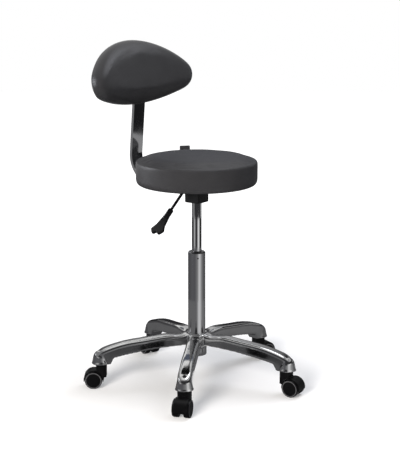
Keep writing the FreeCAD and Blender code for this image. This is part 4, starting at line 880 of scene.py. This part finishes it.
class STOOL_OT_stage(bpy.types.Operator):
    """Sets up the camera, the soft light, the floor and the glowing cards that paint reflections into the
    metal
    """

    bl_idname = "stool.stage"
    bl_label = "Stage"

    def execute(self, context):
        sizes = context.scene.stage_sizes
        scene = context.scene
        scene.view_settings.view_transform = "Standard"
        turn = Matrix.Rotation(-sizes.turn, 4, "Z")
        self.set_camera(scene, sizes, turn)
        self.light_sky(scene)
        self.hang_lamps(scene, turn)
        self.lay_floor()
        self.stand_reflection_cards(sizes)
        return {"FINISHED"}

    def set_camera(self, scene, sizes, turn):
        """Stands the camera where the photograph was taken from"""
        camera_data = bpy.data.cameras.new("Camera")
        camera_data.lens = sizes.lens
        camera_data.shift_x = sizes.shift
        camera = bpy.data.objects.new("Camera", camera_data)
        camera.location = turn @ Vector((0, -sizes.distance, sizes.height))
        camera.rotation_euler = (math.pi / 2 - sizes.pitch, 0, -sizes.turn)
        scene.collection.objects.link(camera)
        scene.camera = camera

    def light_sky(self, scene):
        """Lights the room faintly from all round, white where it is looked at"""
        world = bpy.data.worlds.new("Studio")
        world.use_nodes = True
        scene.world = world
        tree = world.node_tree
        tree.nodes.clear()
        level = add_node(
            tree, "ShaderNodeMapRange", {"To Min": SKY_LEVEL, "To Max": 1.0}, {"Value": seen_rays(tree)}
        )
        sky = add_node(
            tree, "ShaderNodeBackground", {"Color": linear("#ffffff")},
            {"Strength": level.outputs["Result"]},
        )
        add_node(tree, "ShaderNodeOutputWorld", links={"Surface": sky.outputs[0]})

    def hang_lamps(self, scene, turn):
        """Hangs the soft lamps; the key lamp isn't mirrored, and the end lamp gives highlights only"""
        for name, spot, size, power, tint in LAMPS:
            lamp_data = bpy.data.lights.new(name, "AREA")
            lamp_data.color = linear(tint)[:3]
            lamp_data.size = size
            lamp_data.energy = power
            lamp = bpy.data.objects.new(name, lamp_data)
            lamp.location = turn @ Vector(spot)
            aim = Vector(LAMP_AIM) - lamp.location
            lamp.rotation_euler = aim.to_track_quat("-Z", "Y").to_euler()
            lamp.visible_glossy = name != "Key"
            lamp.visible_diffuse = name != "End"
            scene.collection.objects.link(lamp)

    def lay_floor(self):
        """Lays a paper floor that glows white away from the stool and less near it, as painted shade under
        the stool
        """
        leave_alone()
        bpy.ops.mesh.primitive_circle_add(vertices=96, radius=FLOOR_RADIUS, fill_type="NGON")
        floor = bpy.context.object
        floor.name = "floor"
        paper = bpy.data.materials.new("Paper floor with painted shade")
        paper.use_nodes = True
        tree = paper.node_tree
        tree.nodes.clear()
        matt = add_node(tree, "ShaderNodeBsdfDiffuse", {"Color": linear("#e6e6e6")})
        place = add_node(tree, "ShaderNodeTexCoord").outputs["Object"]
        place = add_node(
            tree, "ShaderNodeMapping", {"Scale": [FLOOR_GLOW_SCALE] * 3}, {"Vector": place}
        ).outputs["Vector"]
        near = add_node(
            tree, "ShaderNodeTexGradient", links={"Vector": place}, gradient_type="SPHERICAL"
        )
        # Painted shade: the glow is least under the stool and rises to white farther out
        far = add_node(tree, "ShaderNodeValToRGB", links={"Fac": near.outputs[1]})
        set_stops(far, [(1 - FLOOR_GLOW_SCALE * out, [level] * 3) for out, level in FLOOR_GLOW_AND_SHADE])
        lift = add_node(
            tree, "ShaderNodeMath", links={0: seen_rays(tree), 1: far.outputs["Color"]},
            operation="MULTIPLY",
        )
        glow = add_node(
            tree, "ShaderNodeEmission", {"Color": linear("#ffffff")}, {"Strength": lift.outputs[0]}
        )
        both = add_node(tree, "ShaderNodeAddShader", links={0: matt.outputs[0], 1: glow.outputs[0]})
        add_node(tree, "ShaderNodeOutputMaterial", links={"Surface": both.outputs[0]})
        floor.data.materials.append(paper)

    def stand_reflection_cards(self, sizes):
        """Stands the glowing cards round the stool, seen only in reflections, where they paint light and
        dark streaks
        """
        leave_alone()
        first = STANDING_REFLECTION_CARDS[0][0]
        bpy.ops.mesh.primitive_cylinder_add(
            vertices=120, radius=FLAG_RADIUS, depth=first, end_fill_type="NOTHING",
            location=(0, 0, first / 2 + FLAG_LIFT),
        )
        cards = bpy.context.object
        cards.name = "reflection_cards"
        bpy.ops.object.transform_apply(location=True)
        grown = 1.0
        for reach, _ in FLOOR_REFLECTION_CARDS:
            rim = FLAG_RADIUS * grown + FLAG_MARGIN
            self.grow_rim(
                cards, lambda co: co.z < FLAG_MARGIN and co.xy.length < rim, (0, 0, 0), reach / grown
            )
            grown = reach
        for (rim, _), (height, _) in zip(STANDING_REFLECTION_CARDS, STANDING_REFLECTION_CARDS[1:]):
            self.grow_rim(cards, lambda co: co.z > rim - FLAG_MARGIN, (0, 0, height - rim), 1.0)
        for _, shades in FLOOR_REFLECTION_CARDS[::-1] + STANDING_REFLECTION_CARDS:
            cards.data.materials.append(self.reflection_glow("Glowing reflection card", shades, sizes.turn))
        steps = [FLAG_MARGIN] + [height + FLAG_MARGIN for height, _ in STANDING_REFLECTION_CARDS[:-1]]
        for face in cards.data.polygons:
            out = face.center.xy.length
            ring = sum(face.center.z > step for step in steps)
            face.material_index = ring + sum(out > FLAG_RADIUS * reach for reach, _ in FLOOR_REFLECTION_CARDS[:-1])
        cards.visible_camera = False
        cards.visible_diffuse = False
        cards.visible_shadow = False
        cards.visible_transmission = False

    def grow_rim(self, piece, chosen, step, grow):
        """Draws out one rim of an open shell"""
        for face in piece.data.polygons:
            face.select = False
        for vertex in piece.data.vertices:
            vertex.select = chosen(vertex.co)
        for edge in piece.data.edges:
            edge.select = all(piece.data.vertices[i].select for i in edge.vertices)
        bpy.ops.object.mode_set(mode="EDIT")
        bpy.ops.mesh.extrude_edges_move(TRANSFORM_OT_translate={"value": step})
        bpy.ops.transform.resize(value=(grow, grow, 1), center_override=(0, 0, 0))
        bpy.ops.object.mode_set(mode="OBJECT")

    def reflection_glow(self, name, shades, turn):
        """Glowing card whose shade changes with the bearing from the stool: a painted reflection for the
        metal
        """
        material = bpy.data.materials.new(name)
        material.use_nodes = True
        tree = material.node_tree
        tree.nodes.clear()
        place = add_node(tree, "ShaderNodeTexCoord").outputs["Object"]
        place = add_node(
            tree, "ShaderNodeMapping", {"Rotation": (0, 0, turn + math.pi / 2)}, {"Vector": place}
        ).outputs["Vector"]
        bearing = add_node(tree, "ShaderNodeTexGradient", links={"Vector": place}, gradient_type="RADIAL")
        ramp = add_node(tree, "ShaderNodeValToRGB", links={"Fac": bearing.outputs[1]})
        set_stops(ramp, [((angle + 180) / 360, shade) for angle, shade in shades])
        # Painted reflection: the card glows in its shade and lights nothing
        glow = add_node(tree, "ShaderNodeEmission", links={"Color": ramp.outputs["Color"]})
        add_node(tree, "ShaderNodeOutputMaterial", links={"Surface": glow.outputs[0]})
        return material


OPERATORS = (
    STOOL_OT_finishes, STOOL_OT_base, STOOL_OT_casters, STOOL_OT_levers, STOOL_OT_seat, STOOL_OT_pad,
    STOOL_OT_stage,
)


class STOOL_PT_panel(bpy.types.Panel):
    """Lists the steps that build the stool's looks"""

    bl_label = "Rolling stool"
    bl_idname = "STOOL_PT_panel"
    bl_space_type = "VIEW_3D"
    bl_region_type = "UI"
    bl_category = "Stool"

    def draw(self, context):
        for operator in OPERATORS:
            self.layout.operator(operator.bl_idname)


SETTINGS = {
    "cover_colours": CoverColours,
    "caster_sizes": CasterSizes,
    "seat_sizes": SeatSizes,
    "pad_sizes": PadSizes,
    "stage_sizes": StageSizes,
}
CLASSES = (*SETTINGS.values(), *OPERATORS, STOOL_PT_panel)


def register():
    for item in CLASSES:
        bpy.utils.register_class(item)
    for name, group in SETTINGS.items():
        setattr(bpy.types.Scene, name, PointerProperty(type=group))


def unregister():
    for name in SETTINGS:
        delattr(bpy.types.Scene, name)
    for item in reversed(CLASSES):
        bpy.utils.unregister_class(item)


def main():
    register()
    bpy.ops.stool.finishes()
    bpy.ops.stool.base()
    bpy.ops.stool.casters()
    bpy.ops.stool.levers()
    bpy.ops.stool.seat()
    bpy.ops.stool.pad()
    bpy.ops.stool.stage()
    bpy.context.view_layer.update()


if __name__ == "__main__":
    main()
